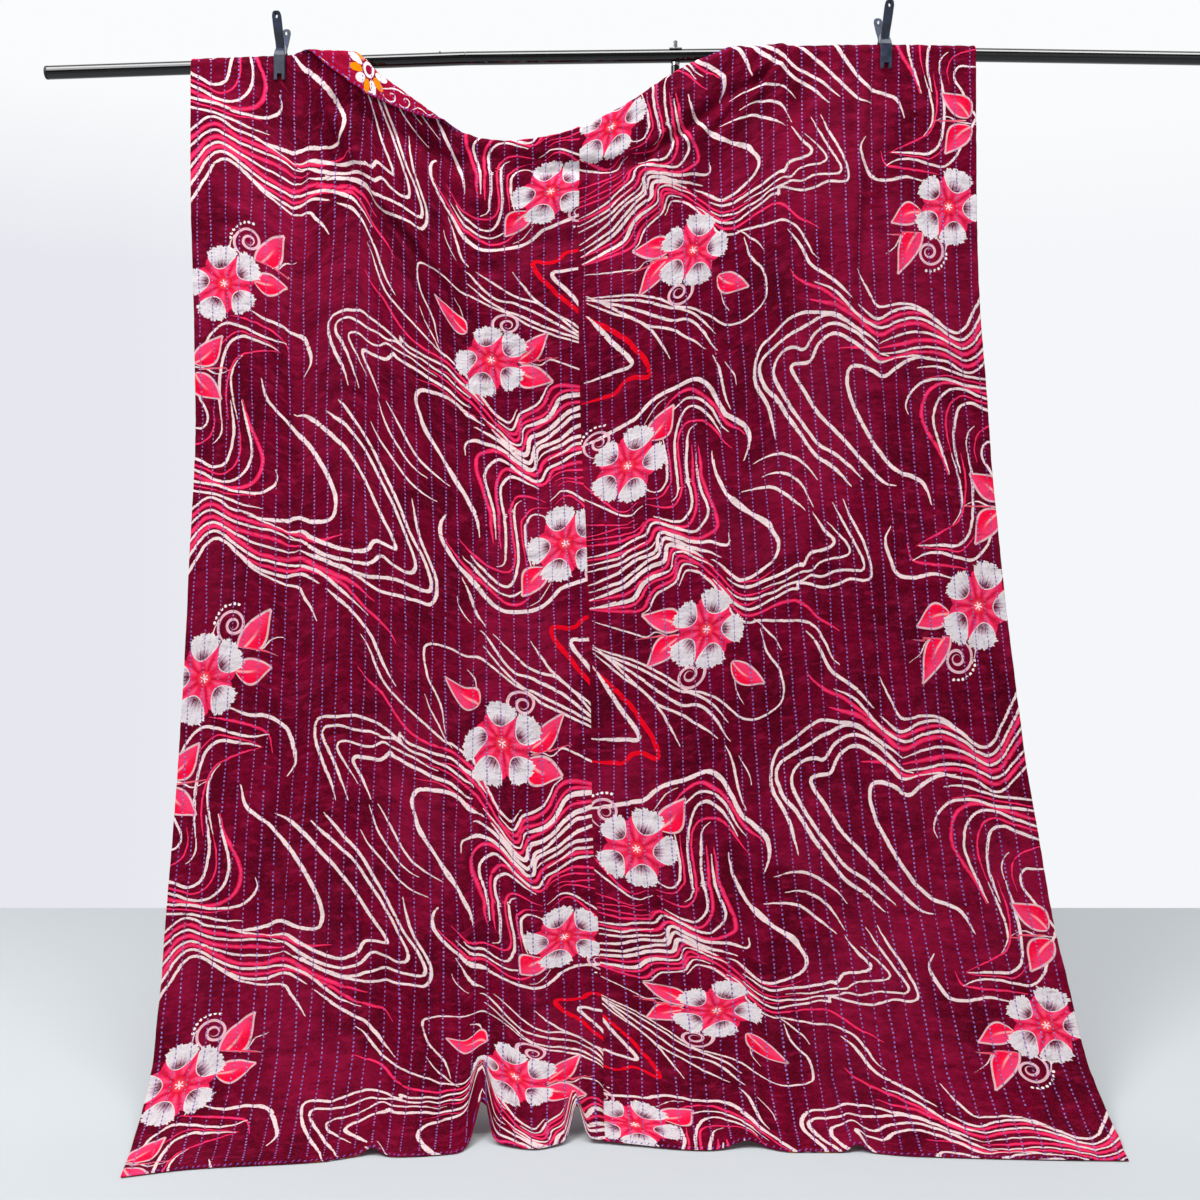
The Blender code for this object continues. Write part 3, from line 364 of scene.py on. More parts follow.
# Small creases and soft ridges the large folds leave between them: (start across, start length, end across,
# end length, width, height). Height below 0 is a trough.
SMALL_CREASES = (
    (0.205, 0.14, 0.230, 0.40, 0.010, -0.0024), (0.255, 0.16, 0.330, 0.46, 0.013, 0.0026),
    (0.300, 0.30, 0.420, 0.62, 0.016, -0.0022), (0.150, 0.30, 0.205, 0.66, 0.020, 0.0018),
    (0.370, 0.42, 0.480, 0.86, 0.022, 0.0020), (0.460, 0.34, 0.560, 0.52, 0.012, -0.0020),
    (0.520, 0.24, 0.680, 0.33, 0.010, 0.0022), (0.600, 0.34, 0.760, 0.40, 0.011, -0.0018),
    (0.800, 0.34, 0.940, 0.26, 0.010, 0.0020), (0.860, 0.42, 1.020, 0.30, 0.014, -0.0020),
    (0.960, 0.46, 1.130, 0.28, 0.018, 0.0018), (1.050, 0.24, 1.120, 0.12, 0.008, 0.0020),
    (1.232, 0.18, 1.222, 0.52, 0.010, -0.0020), (1.262, 0.16, 1.262, 0.60, 0.011, 0.0024),
    (1.292, 0.20, 1.305, 0.50, 0.010, -0.0018), (1.330, 0.15, 1.390, 0.42, 0.014, 0.0014),
    (0.430, 0.92, 0.560, 0.985, 0.007, -0.0016), (0.470, 1.00, 0.640, 1.060, 0.006, -0.0014),
    (0.560, 0.86, 0.690, 0.930, 0.008, 0.0014), (0.880, 0.70, 1.080, 0.650, 0.009, -0.0015),
    (0.930, 0.92, 1.120, 0.850, 0.008, 0.0014), (0.820, 1.16, 1.020, 1.090, 0.009, -0.0016),
    (1.080, 1.26, 1.280, 1.190, 0.009, -0.0014), (0.140, 1.06, 0.300, 1.120, 0.009, -0.0013),
    (0.230, 1.36, 0.420, 1.450, 0.010, -0.0016), (0.500, 1.38, 0.700, 1.420, 0.010, 0.0016),
    (0.080, 1.52, 0.240, 1.600, 0.009, 0.0014), (0.830, 1.50, 1.010, 1.440, 0.010, 0.0016),
    (1.090, 1.56, 1.330, 1.500, 0.010, -0.0016), (0.300, 1.66, 0.520, 1.720, 0.011, -0.0020),
    (0.620, 1.62, 0.700, 1.820, 0.012, 0.0020), (0.760, 1.70, 0.930, 1.660, 0.010, -0.0018),
    (1.150, 1.78, 1.400, 1.730, 0.011, 0.0018), (0.060, 1.80, 0.260, 1.850, 0.010, -0.0016),
    (0.900, 1.86, 1.060, 1.900, 0.010, 0.0016),
)


# Larger creases: width and height in millimetres (below 0 is a trough), and places across and down the cloth
# in centimetres.
CREASES = (
    (10.0, -8.5, ((19.4, 3.1), (20.1, 5.6), (21.0, 8.9), (22.3, 12.8), (23.7, 16.6), (25.5, 21.0),
        (28.4, 27.0), (33.5, 31.4), (40.3, 32.4), (48.8, 35.0), (56.4, 43.0))),
    (12.0, 5.5, ((21.8, 3.5), (22.6, 6.4), (23.6, 10.0), (25.0, 14.2), (26.6, 18.2), (29.0, 23.4),
        (32.2, 27.2), (36.6, 29.4), (42.0, 30.2), (49.6, 32.6))),
    (18.0, -15.0, ((23.5, 10.5), (27.0, 14.6), (30.6, 16.2), (35.4, 15.2), (40.4, 12.6), (46.0, 9.6),
        (51.5, 7.6), (57.0, 6.6))),
    (9.0, -6.0, ((115.5, 8.2), (113.4, 8.8), (109.3, 9.4), (106.2, 9.8), (102.5, 11.2), (97.9, 13.4),
        (91.5, 15.5), (87.3, 16.1), (79.0, 13.5), (71.4, 9.9), (67.7, 8.0), (62.3, 5.1), (57.0, 2.6))),
    (12.0, 4.5, ((113.4, 11.2), (106.2, 12.2), (98.6, 15.8), (91.5, 18.0), (86.8, 18.6), (78.4, 16.0),
        (70.6, 12.4))),
    (8.5, -6.0, ((115.2, 5.4), (114.5, 7.2), (112.5, 8.8), (108.8, 11.4), (105.0, 13.4), (101.0, 17.0))),
    (8.0, 4.5, ((117.2, 6.4), (115.6, 9.2), (112.0, 11.8), (108.0, 14.6), (104.2, 18.4))),
    (9.0, -4.5, ((132.0, 11.6), (131.5, 18.0), (131.1, 24.5), (130.5, 33.1), (129.6, 43.1), (128.6, 53.2))),
    (8.0, 4.0, ((130.6, 12.4), (130.0, 18.0), (129.4, 24.5), (128.8, 33.0), (127.8, 43.0))),
    (8.0, -3.0, ((133.9, 13.1), (133.4, 24.5), (133.0, 35.3), (132.5, 46.2))),
    (10.0, 3.5, ((135.6, 12.2), (135.8, 20.5), (135.2, 31.0))),
    (9.0, -3.5, ((128.5, 15.7), (127.5, 26.5), (126.7, 38.8))),
    (12.0, -3.5, ((122.0, 4.6), (121.0, 11.0), (117.4, 19.0), (114.6, 27.0))),
    (14.0, 3.5, ((3.4, 33.0), (9.0, 36.4), (16.0, 37.6), (24.0, 41.5))),
    (12.0, -3.0, ((2.0, 36.5), (8.0, 39.6), (15.0, 41.0), (22.0, 45.0))),
    (12.0, -3.5, ((60.0, 44.0), (66.0, 52.0), (70.0, 63.0), (73.0, 76.0))),
    (14.0, 3.5, ((63.4, 42.0), (69.0, 50.0), (72.6, 60.0))),
    (12.0, -3.5, ((96.0, 21.0), (100.0, 30.0), (101.0, 42.0), (98.0, 55.0))),
    (12.0, -4.0, ((44.0, 176.0), (47.0, 184.0), (48.6, 194.0), (48.0, 204.0))),
    (12.0, -4.0, ((66.0, 170.0), (69.0, 180.0), (70.0, 192.0), (70.6, 204.0))),
    (14.0, 3.5, ((58.0, 172.0), (59.0, 184.0), (58.6, 196.0))),
    (12.0, -3.5, ((90.0, 182.0), (97.0, 190.0), (106.0, 194.0), (116.0, 195.0))),
    (12.0, 3.0, ((124.0, 178.0), (130.0, 188.0), (139.0, 195.0), (147.0, 198.0))),
    (12.0, -3.0, ((4.0, 192.0), (13.0, 188.0), (22.0, 187.0), (31.0, 190.0))),
)
CREASE_FADE = 0.060
CREASE_STEP = 0.020
CREASE_TIP = 0.25
# Small creases: how far each bends, its waves along the crease and their start, and where it rises and falls.
SMALL_BEND = 0.006
SMALL_BEND_WAVES = 7
SMALL_BEND_START = 40
SMALL_RISES = (-0.05, 0.30)
SMALL_FALLS = (0.65, 1.05)
# Sideways waves of the stitch rows: height, turns along the row, and shift from row to row.
ROW_WAVES = ((0.0016, 9.5, 1.7), (0.0009, 27.0, 2.9), (0.0008, 0.0, 4.3))
ROW_EDGE = 0.002
# Waves of the whole cloth: height, bumps a metre across and down it, and the noise's seed.
BROAD_WAVES = ((0.0013, 7.5, 9.0, 31), (0.0006, 17, 34, 21))
RIPPLES = ((0.00085, 26, 88, 42), (0.00075, 14, 55, 43))
RIPPLE_BEND = ((0.004, 11, 6, 41),)
# The quilting between the rows.
CHANNEL_SHAPE = 0.75
PUCKER_DEPTH = 0.00062
PRESSED_DEPTH = 0.0003
BACKING_SEED = 50
NOISE_TABLE = 256
# Where creases fade: round a clip, down from it, above the floor, and down from the top fold.
CLIP_FADE = 0.012
CLIP_DOWN = (0.036, 0.060)
FLOOR_FLATTENS = (0.004, 0.03)
TOP_FLATTENS = 0.05


def lattice(seed):
    return np.random.RandomState(seed).uniform(-1, 1, (NOISE_TABLE, NOISE_TABLE))


def noise(x, y, seed):
    """Smooth noise from -1 to 1 with one bump a unit."""
    table = lattice(seed)
    i, j = np.floor(x).astype(int), np.floor(y).astype(int)
    u, v = x - i, y - j
    u, v = u * u * (3 - 2 * u), v * v * (3 - 2 * v)
    i0, i1 = i % NOISE_TABLE, (i + 1) % NOISE_TABLE
    j0, j1 = j % NOISE_TABLE, (j + 1) % NOISE_TABLE
    top = table[i0, j0] * (1 - u) + table[i1, j0] * u
    low = table[i0, j1] * (1 - u) + table[i1, j1] * u
    return top * (1 - v) + low * v


def row_wander(row, length):
    """How far a stitch row strays sideways from its even place."""
    return sum(height * np.sin(length * turns + row * shift) for height, turns, shift in ROW_WAVES)


def across_of(even, length):
    """Where a line that runs at this even place across really lies: it strays with the stitch rows."""
    row = (even - ROW_FIRST) / ROW_PITCH
    edge = np.minimum.reduce([even, QUILT_WIDTH - even, np.abs(even - QUILT_WIDTH / 2)])
    return even + row_wander(row, length) * ramp(edge, ROW_EDGE, ROWS_STRAIGHT_WITHIN)


def small_creases(across, length):
    height = np.zeros_like(across)
    for a0, l0, a1, l1, width, rise in SMALL_CREASES:
        run = np.hypot(a1 - a0, l1 - l0)
        along = ((across - a0) * (a1 - a0) + (length - l0) * (l1 - l0)) / run**2
        off = ((across - a0) * (l1 - l0) - (length - l0) * (a1 - a0)) / run
        off = off + SMALL_BEND * np.sin(along * SMALL_BEND_WAVES + a0 * SMALL_BEND_START)
        strength = ramp(along, *SMALL_RISES) * (1 - ramp(along, *SMALL_FALLS))
        height += rise * strength * np.exp(-((off / width) ** 2))
    return height


def curved_creases(across, length):
    at = np.stack([across.ravel(), length.ravel()], -1)
    height = np.zeros(len(at))
    for width, rise, places in CREASES:
        line, width = smooth_line(places, CREASE_STEP), width / MM_IN_M
        reach = 3 * width
        index = np.flatnonzero(((at > line.min(0) - reach) & (at < line.max(0) + reach)).all(-1))
        if len(index):
            off, along, past = distance_to(line, at[index])
            strength = CREASE_TIP + (1 - CREASE_TIP) * ramp(along, 0.0, CREASE_FADE)
            strength = strength * np.exp(-((past / width) ** 2))
            height[index] += rise / MM_IN_M * strength * np.exp(-((off / width) ** 2))
    return height.reshape(across.shape)


def held_flat(x, z):
    """1 where a clip presses the cloth, falling to 0 around it."""
    pressed = np.zeros_like(x)
    for place in CLIP_PLACES.values():
        near = 1 - ramp(np.abs(x - place), CLIP_REACH, CLIP_REACH + CLIP_FADE)
        pressed = np.maximum(pressed, near * (1 - ramp(bar_axis(x) - z, *CLIP_DOWN)))
    return pressed


def waves(table, across, length):
    return sum(height * noise(across * wide, length * long, seed) for height, wide, long, seed in table)


def swell(across, length, x, z):
    """How far the whole sandwich of cloth waves out and in: broad unevenness and puckers across the rows."""
    ripples = waves(RIPPLES, across, length + waves(RIPPLE_BEND, across, length))
    return (waves(BROAD_WAVES, across, length) + ripples) * (1 - held_flat(x, z))


def relief(even, across, length, x, z, face):
    """How far the quilting lifts the cloth from its even thickness, on the printed or the backing side."""
    between = np.abs(np.sin(np.pi * (even - ROW_FIRST) / ROW_PITCH))
    puff = between**CHANNEL_SHAPE - 1
    strength = 0.92 + 0.10 * noise(across * 9, length * 11, 3 + face)
    lift = CHANNEL_DEPTH * puff * strength
    # Puckers between the stitches: short along the rows and a little longer across them.
    pucker = noise(across * 36 + 3, length * 78, 11 + face)
    pucker = pucker + 0.6 * noise(across * 60, length * 120, 12 + face)
    lift += PUCKER_DEPTH * pucker * (0.25 + 0.75 * between)
    pressed = held_flat(x, z)
    return np.maximum(lift, LEAST_HEIGHT - HALF_QUILT) * (1 - pressed) - PRESSED_DEPTH * pressed


def edge_share(distance):
    """From 0 at a cut edge to 1 where the layer has its full height: a rounded edge."""
    u = np.clip(distance / EDGE_ROUND, 0, 1)
    return np.sqrt(1 - (1 - u) ** 2)


def steps(low, high, size):
    count = int(math.ceil((high - low) / size))
    return [low + (high - low) * i / count for i in range(1, count)]


def column_lines(low, high, side):
    """Even places of the grid's columns: some on each stitch row, and more at the edges and the seam."""
    count = round((high - low) / ROW_PITCH * COLUMNS_A_ROW[side])
    near = [*EDGE_PLACES, EDGE_ROUND]
    inner = [low + (high - low) * i / count for i in range(1, count)]
    return np.array([low + p for p in near] + inner + [high - p for p in near[::-1]])


def length_lines(side):
    size, top_size = LENGTH_STEPS[side]
    start = [*EDGE_PLACES, EDGE_ROUND]
    end = [QUILT_LENGTH - p for p in start[::-1]]
    lines = start + steps(start[-1], TOP_LENGTH, top_size) + [TOP_LENGTH]
    return np.array(lines + steps(TOP_LENGTH, end[0], size) + end)


class Cloth:
    """The quilt as sewn and hung: points on either side of it for flat positions (across, length)."""

    def __init__(self):
        self.drape = Drape()

    def side(self, even, length, side, lift=0.0):
        """Points on one side (1 printed, -1 backing), their outward normals, and the cloth's flat places."""
        across = across_of(even, length)
        down = length - self.drape.at_ridge("flap", across)
        middle = self.drape.point(across, down)
        normal = self.drape.normal(across, down)
        x, z = middle[..., 0], middle[..., 2]
        raised = relief(even, across, length, x, z, 0 if side > 0 else BACKING_SEED)
        creases = small_creases(across, length) + swell(across, length, x, z)
        creases += curved_creases(across, length) * (1 - held_flat(x, z))
        creases = creases * ramp(z, *FLOOR_FLATTENS)
        room = HALF_QUILT + (raised if side > 0 else np.minimum(raised, 0.0))
        edge = np.minimum.reduce([across, QUILT_WIDTH - across, length, QUILT_LENGTH - length])
        height = room * edge_share(edge)
        if side > 0:
            from_seam = np.abs(across - QUILT_WIDTH / 2)
            height = height - SEAM_DEPTH * (1 - ramp(from_seam, 0.0, SEAM_GROOVE)) ** 2
        body = side * (height + lift) + creases * ramp(down, 0.0, TOP_FLATTENS)
        points = middle + normal * body[..., None]
        points[..., 1] += FRONT_TO_BACK_SHIFT
        points[..., 2] = np.maximum(points[..., 2], LOWEST[side])
        return points, normal * side, across


def grid_faces(rows, count, turn):
    a = (np.arange(rows - 1)[:, None] * count + np.arange(count - 1)[None]).ravel()
    order = (a, a + 1, a + count + 1, a + count) if turn else (a, a + count, a + count + 1, a + 1)
    return np.stack(order, -1)


def mesh_of(name, points, faces):
    """A smooth mesh from arrays of points and of faces that all have the same number of corners."""
    mesh = bpy.data.meshes.new(name)
    points, faces = np.asarray(points, np.float32), np.asarray(faces, np.int32)
    count, corners = faces.shape
    mesh.vertices.add(len(points))
    mesh.vertices.foreach_set("co", points.ravel())
    mesh.loops.add(count * corners)
    mesh.loops.foreach_set("vertex_index", faces.ravel())
    mesh.polygons.add(count)
    mesh.polygons.foreach_set("loop_start", np.arange(0, count * corners, corners, dtype=np.int32))
    mesh.update(calc_edges=True)
    mesh.validate()
    mesh.shade_smooth()
    return mesh


def add_vector(mesh, name, values):
    made = mesh.attributes.new(name, "FLOAT_VECTOR", "POINT")
    made.data.foreach_set("vector", np.asarray(values, np.float32).ravel())


def add_map(mesh, values):
    """A UV map over the flat cloth."""
    layer = mesh.uv_layers.new(name="OFBake")
    corner = np.empty(len(mesh.loops), np.int32)
    mesh.loops.foreach_get("vertex_index", corner)
    layer.data.foreach_set("uv", np.asarray(values, np.float32)[corner].ravel())


def add_piece(name, mesh, material):
    mesh.materials.append(material)
    obj = bpy.data.objects.new(name, mesh)
    bpy.context.scene.collection.objects.link(obj)
    return obj


# --------------------------------------------------------------------- print
# The print repeats every PRINT_REPEAT along the cloth. Its places are in centimetres: from a panel's outer
# edge, and down from an edge flower. Both panels are cut from it, and the right one is turned end for end.
PRINT_REPEAT = 0.74
WARP_REACH = 0.35
WARP_SOFT = 0.02
# Where the print sits: (place across, place down the cloth, place across, place down in the print).
LEFT_PRINT = (
    (0.070, 0.500, 0.060, 0.000), (0.050, 1.231, 0.060, 0.740), (0.063, 1.907, 0.060, 1.480),
    (0.591, 0.485, 0.595, 0.030), (0.599, 1.308, 0.595, 0.770), (0.617, 1.941, 0.595, 1.510),
    (0.696, 0.153, 0.700, -0.350), (0.710, 0.916, 0.700, 0.390), (0.690, 1.705, 0.700, 1.130),
    (0.020, 0.647, 0.015, 0.160), (0.005, 1.400, 0.015, 0.900),
)
RIGHT_PRINT = (
    (0.060, -0.378, 0.060, 0.000), (0.059, -1.129, 0.060, -0.740), (0.058, -1.845, 0.060, -1.480),
    (0.526, -0.394, 0.595, 0.030), (0.544, -1.155, 0.595, -0.710), (0.572, -1.845, 0.595, -1.450),
    (0.687, -0.072, 0.700, 0.390), (0.665, -0.785, 0.700, -0.350), (0.675, -1.550, 0.700, -1.090),
    (0.703, -2.051, 0.700, -1.830), (0.030, -0.228, 0.015, 0.160), (0.011, -0.951, 0.015, -0.580),
    (0.029, -1.710, 0.015, -1.320),
)
# Flowers: centre, and which way one petal points, in degrees.
FLOWERS = ((5.0, -0.3, 101), (58.7, 3.9, 103), (70.1, -34.6, 105))
FLOWER_RADIUS = 0.071
FLOWER_ROOM = 0.080
# Leaves: foot, tip, and half the width.
LEAVES = (
    (10.9, -4.0, 16.9, -12.4, 2.1), (10.6, -1.2, 17.3, -2.4, 2.1), (54.2, -2.4, 48.0, -7.9, 1.8),
    (63.4, 3.8, 70.0, -0.8, 2.1), (63.4, 5.4, 70.0, 9.5, 2.2), (66.4, -30.6, 61.4, -25.8, 2.4),
    (-0.6, 15.7, 5.2, 10.4, 2.2), (-0.4, 17.6, 4.7, 23.3, 2.2),
)
LEAF_ROOM = 0.006
# Curls: centre, radius, the way the stem comes in, and 1 where dots ring it.
CURLS = ((9.8, -8.8, 2.8, 180, 1), (62.1, -3.9, 2.9, 180, 0), (75.4, -28.4, 2.8, 0, 1))
CURL_ROOM = 0.0400
# Printed lines: colour, width in millimetres, and places in millimetres, each as a pair across and down.
LINES = (
    ("cream", 6.5, (182, -281, 212, -285, 237, -262, 270, -236, 302, -220, 333, -234, 350, -263, 367, -266,
        388, -267, 383, -286, 362, -319, 338, -360, 311, -392, 283, -426, 242, -480, 213, -512, 191, -521)),
    ("cream", 6.0, (191, -276, 212, -268, 233, -247, 260, -222, 302, -201, 339, -213, 362, -240, 381, -235,
        405, -234, 422, -246, 424, -269, 407, -307, 386, -348, 365, -381, 338, -420, 311, -440, 282, -468,
        255, -499)),
    ("cream", 6.5, (241, -231, 271, -203, 314, -183, 355, -196, 391, -209, 423, -216, 448, -224, 454, -244,
        440, -282, 417, -314, 392, -363, 373, -395, 344, -440, 311, -468, 278, -508)),
    ("cream", 6.0, (211, -250, 238, -228, 262, -211, 297, -185, 334, -177, 366, -173, 396, -181, 428, -193,
        451, -200, 463, -226, 462, -260, 446, -294, 434, -319, 426, -352, 421, -384)),
    ("cream", 7.0, (126, -562, 138, -524, 160, -507, 186, -495, 213, -464, 239, -419, 259, -377, 273, -340,
        278, -312, 273, -290, 258, -286, 232, -296, 205, -313, 180, -299, 148, -285, 113, -284)),
    ("cream", 4.5, (344, -486, 362, -460, 394, -430, 415, -415, 441, -408, 468, -409)),
    ("cream", 4.5, (358, -534, 378, -488, 410, -454, 432, -443, 453, -441)),
    ("cream", 5.0, (374, -539, 395, -513, 427, -474, 454, -460, 494, -452)),
    ("cream", 5.5, (436, -574, 446, -533, 464, -513, 488, -491, 513, -464, 532, -427, 542, -390, 544, -362)),
    ("cream", 4.5, (-40, -258, 10, -300, 24, -312, 40, -317, 58, -310, 79, -295, 117, -287, 144, -279,
        182, -281)),
    ("pink", 8.0, (-40, -240, 9, -285, 24, -298, 42, -304, 59, -297, 82, -282, 118, -274, 151, -274,
        204, -281, 243, -255, 291, -249)),
    ("cream", 4.5, (-40, -226, 8, -272, 25, -287, 43, -293, 60, -285, 90, -270, 129, -264, 172, -270,
        213, -270)),
    ("pink", 9.0, (-40, -198, 10, -255, 25, -273, 44, -281, 60, -275, 92, -257, 130, -251, 173, -256,
        211, -259)),
    ("cream", 4.5, (-40, -176, 9, -240, 25, -260, 44, -270, 60, -266, 95, -246, 131, -235, 168, -238,
        211, -250)),
    ("pink", 9.0, (-40, -151, 10, -227, 25, -250, 45, -263, 65, -258, 96, -236, 132, -219, 169, -221,
        211, -234, 250, -202, 293, -170, 324, -159, 351, -150)),
    ("cream", 5.0, (-40, -136, 10, -214, 25, -237, 45, -253, 65, -249, 96, -226, 133, -209, 169, -212,
        207, -221, 251, -193, 293, -146, 314, -131, 341, -119)),
    ("pink", 7.0, (100, -212, 134, -199, 170, -201, 213, -212, 251, -192, 293, -159, 324, -135, 351, -123,
        377, -107, 392, -88)),
    ("cream", 5.5, (-40, -105, 22, -205, 36, -228, 55, -240, 75, -232, 106, -207, 139, -190, 176, -192,
        213, -204, 251, -173)),
    ("cream", 4.5, (86, -219, 129, -188, 166, -180, 208, -182, 225, -156, 239, -130, 249, -106)),
    ("cream", 6.0, (263, -160, 295, -125, 325, -102, 347, -85, 363, -55, 377, -31, 394, -11)),
    ("cream", 4.5, (328, -818, 343, -803, 356, -776, 373, -749, 397, -732, 428, -720, 483, -699, 498, -698,
        516, -692, 533, -679, 547, -654, 561, -631, 574, -612, 590, -593, 605, -584, 615, -581, 622, -589,
        628, -600, 632, -606)),
    ("pink", 6.0, (325, -759, 344, -745, 370, -730, 389, -709, 414, -689, 446, -682, 472, -684, 498, -685,
        518, -678, 537, -659, 551, -636, 567, -617, 583, -597, 597, -583)),
    ("pink", 5.0, (480, -660, 502, -663, 522, -657, 536, -641, 555, -617, 573, -595, 589, -577, 603, -565,
        614, -557, 626, -550)),
    ("pink", 4.5, (453, -646, 479, -648, 501, -646, 521, -639, 540, -621, 559, -596, 577, -575, 595, -562,
        611, -549, 625, -542)),
    ("cream", 5.0, (298, -528, 287, -562, 269, -603, 256, -643, 255, -671, 269, -677, 297, -670, 324, -676,
        352, -678, 379, -671, 405, -661, 404, -672, 419, -666, 446, -668, 470, -670, 492, -674, 507, -671,
        522, -662, 537, -649, 556, -623, 569, -609)),
    ("cream", 4.5, (320, -530, 302, -570, 284, -609, 268, -645, 272, -659, 287, -657, 322, -652, 353, -659,
        376, -655, 393, -660, 409, -658, 428, -655, 451, -658, 471, -656, 489, -657, 504, -653, 522, -646,
        536, -635, 543, -626)),
    ("cream", 4.0, (336, -563, 316, -586, 299, -609, 295, -624, 308, -630, 334, -630, 357, -634, 375, -647,
        393, -645, 414, -645, 432, -646, 456, -643, 478, -643)),
    ("cream", 6.0, (361, -543, 343, -575, 325, -597, 330, -608, 351, -613, 374, -616, 390, -635, 394, -630,
        419, -630, 445, -631, 471, -630, 496, -632, 516, -626, 530, -617, 542, -608)),
    ("cream", 4.0, (484, 27, 480, 7, 475, -16, 464, -36, 451, -55, 444, -78, 441, -99, 444, -116, 456, -126,
        477, -133, 499, -134, 526, -126, 554, -104, 576, -89, 599, -76, 621, -67, 641, -52, 667, -29, 710, -1,
        749, 16, 790, 33)),
    ("cream", 4.5, (546, -138, 560, -121, 576, -103, 596, -86, 618, -72, 643, -60, 675, -35, 709, -12, 749, 8,
        790, 28)),
    ("cream", 5.0, (541, -171, 554, -155, 570, -130, 587, -110, 606, -96, 631, -91, 660, -71, 688, -48,
        720, -21, 748, 0, 790, 30)),
    ("cream", 4.5, (564, -165, 584, -147, 606, -130, 623, -115, 648, -98, 676, -82, 699, -60, 725, -33,
        750, -5, 790, 38)),
    ("cream", 4.0, (632, -164, 643, -143, 654, -123, 670, -95, 691, -69, 713, -47, 736, -30, 750, -17,
        790, 22)),
    ("cream", 5.0, (509, -289, 519, -267, 527, -239, 537, -202, 551, -177)),
    ("cream", 3.5, (500, -247, 503, -231, 511, -217, 526, -194)),
    ("cream", 3.5, (444, -27, 455, -4, 471, 17, 485, 37, 498, 49)),
    ("cream", 4.5, (702, -647, 689, -640, 682, -627, 673, -613, 661, -607, 644, -601, 634, -595, 628, -581,
        622, -570, 615, -568, 607, -572, 592, -582)),
    ("pink", 7.5, (790, -631, 746, -636, 725, -639, 707, -639, 695, -633, 687, -619, 680, -607, 666, -599,
        645, -593, 636, -587, 632, -572, 627, -562, 618, -561, 608, -565, 591, -577)),
    ("pink", 6.0, (790, -630, 745, -629, 724, -629, 710, -624, 698, -612, 689, -596, 676, -587, 657, -584,
        642, -580, 635, -569, 632, -555, 625, -549, 616, -553, 603, -563, 582, -581)),
    ("cream", 8.5, (790, -628, 745, -621, 725, -619, 711, -613, 703, -601, 694, -588, 680, -579, 660, -575,
        645, -572, 639, -564)),
    ("cream", 4.0, (644, -572, 640, -563, 637, -551, 634, -542, 626, -541, 613, -546, 595, -562, 577, -575,
        563, -586)),
    ("pink", 6.5, (790, -613, 744, -607, 727, -605, 709, -594, 694, -580, 675, -571, 656, -566, 647, -560,
        642, -546, 636, -534, 628, -532, 614, -540, 594, -555, 572, -575)),
    ("cream", 8.0, (790, -611, 746, -596, 729, -590, 712, -579, 694, -565, 674, -556, 654, -553, 649, -544,
        647, -532, 643, -523, 633, -525, 619, -534, 601, -547, 581, -564)),
    ("cream", 6.5, (790, -595, 748, -583, 732, -579, 716, -567, 698, -555, 680, -544, 662, -538, 657, -528,
        653, -515, 647, -507, 639, -511, 623, -522, 608, -535, 589, -547, 566, -558, 548, -568)),
    ("cream", 6.5, (790, -581, 748, -565, 734, -559, 718, -548, 700, -538, 680, -534, 665, -529, 660, -516,
        659, -504, 654, -496, 645, -496, 632, -506, 616, -517, 600, -528, 583, -534, 564, -537, 545, -544,
        533, -545, 527, -538, 527, -522)),
    ("cream", 6.0, (790, -552, 747, -545, 729, -541, 708, -530, 688, -524, 672, -519, 664, -510)),
    ("cream", 5.0, (790, -539, 748, -532, 732, -530, 714, -519, 697, -512, 682, -507)),
    ("pink", 8.0, (790, -528, 748, -524, 731, -522, 706, -515, 683, -510, 671, -503, 664, -490, 655, -485,
        643, -491, 626, -502, 611, -516, 597, -523, 583, -526, 568, -523, 551, -515, 546, -505, 547, -483,
        554, -458, 561, -430, 567, -407, 566, -383, 569, -351)),
    ("cream", 5.0, (790, -523, 748, -516, 730, -512, 713, -503, 696, -496, 680, -492, 673, -483, 667, -474,
        657, -473, 646, -479, 627, -492, 610, -504, 598, -510, 588, -511, 579, -505, 567, -493, 561, -482,
        561, -465, 567, -443, 572, -419, 573, -409, 574, -379, 574, -361)),
    ("pink", 6.5, (790, -496, 747, -497, 729, -497, 707, -491, 688, -486, 680, -474, 673, -466, 664, -465,
        652, -472, 639, -482, 621, -493, 606, -497, 594, -490, 584, -473, 580, -456, 580, -432, 583, -410,
        582, -410, 581, -375, 582, -344)),
    ("cream", 5.0, (661, -459, 645, -469, 629, -479, 613, -484, 603, -479, 593, -468, 588, -453, 589, -430,
        593, -407, 592, -411, 593, -377, 591, -347, 589, -322, 583, -311, 573, -306)),
    ("pink", 5.0, (671, -432, 652, -443, 634, -450, 620, -449, 609, -436, 604, -419, 604, -419, 604, -396,
        606, -369, 608, -341, 606, -319, 599, -304, 589, -298, 574, -299, 556, -305, 539, -321, 518, -351,
        509, -359, 505, -364)),
    ("cream", 5.0, (626, -441, 616, -435, 611, -420, 611, -420, 611, -397, 613, -370, 614, -337, 611, -310,
        604, -286, 595, -272, 585, -269, 573, -273, 556, -288, 539, -309, 526, -333)),
    ("pink", 4.5, (672, -421, 653, -425, 639, -422, 628, -409, 623, -402, 623, -370, 626, -339, 627, -316)),
    ("cream", 5.0, (668, -405, 655, -413, 643, -413, 634, -403, 630, -393, 629, -363, 633, -331, 636, -315)),
    ("pink", 4.5, (790, -485, 746, -484, 723, -484, 700, -481, 687, -475, 679, -465)),
    ("pink", 4.0, (790, -479, 745, -471, 726, -468, 705, -471, 690, -466)),
    ("pink", 4.5, (790, -451, 744, -458, 725, -462, 709, -463, 695, -456)),
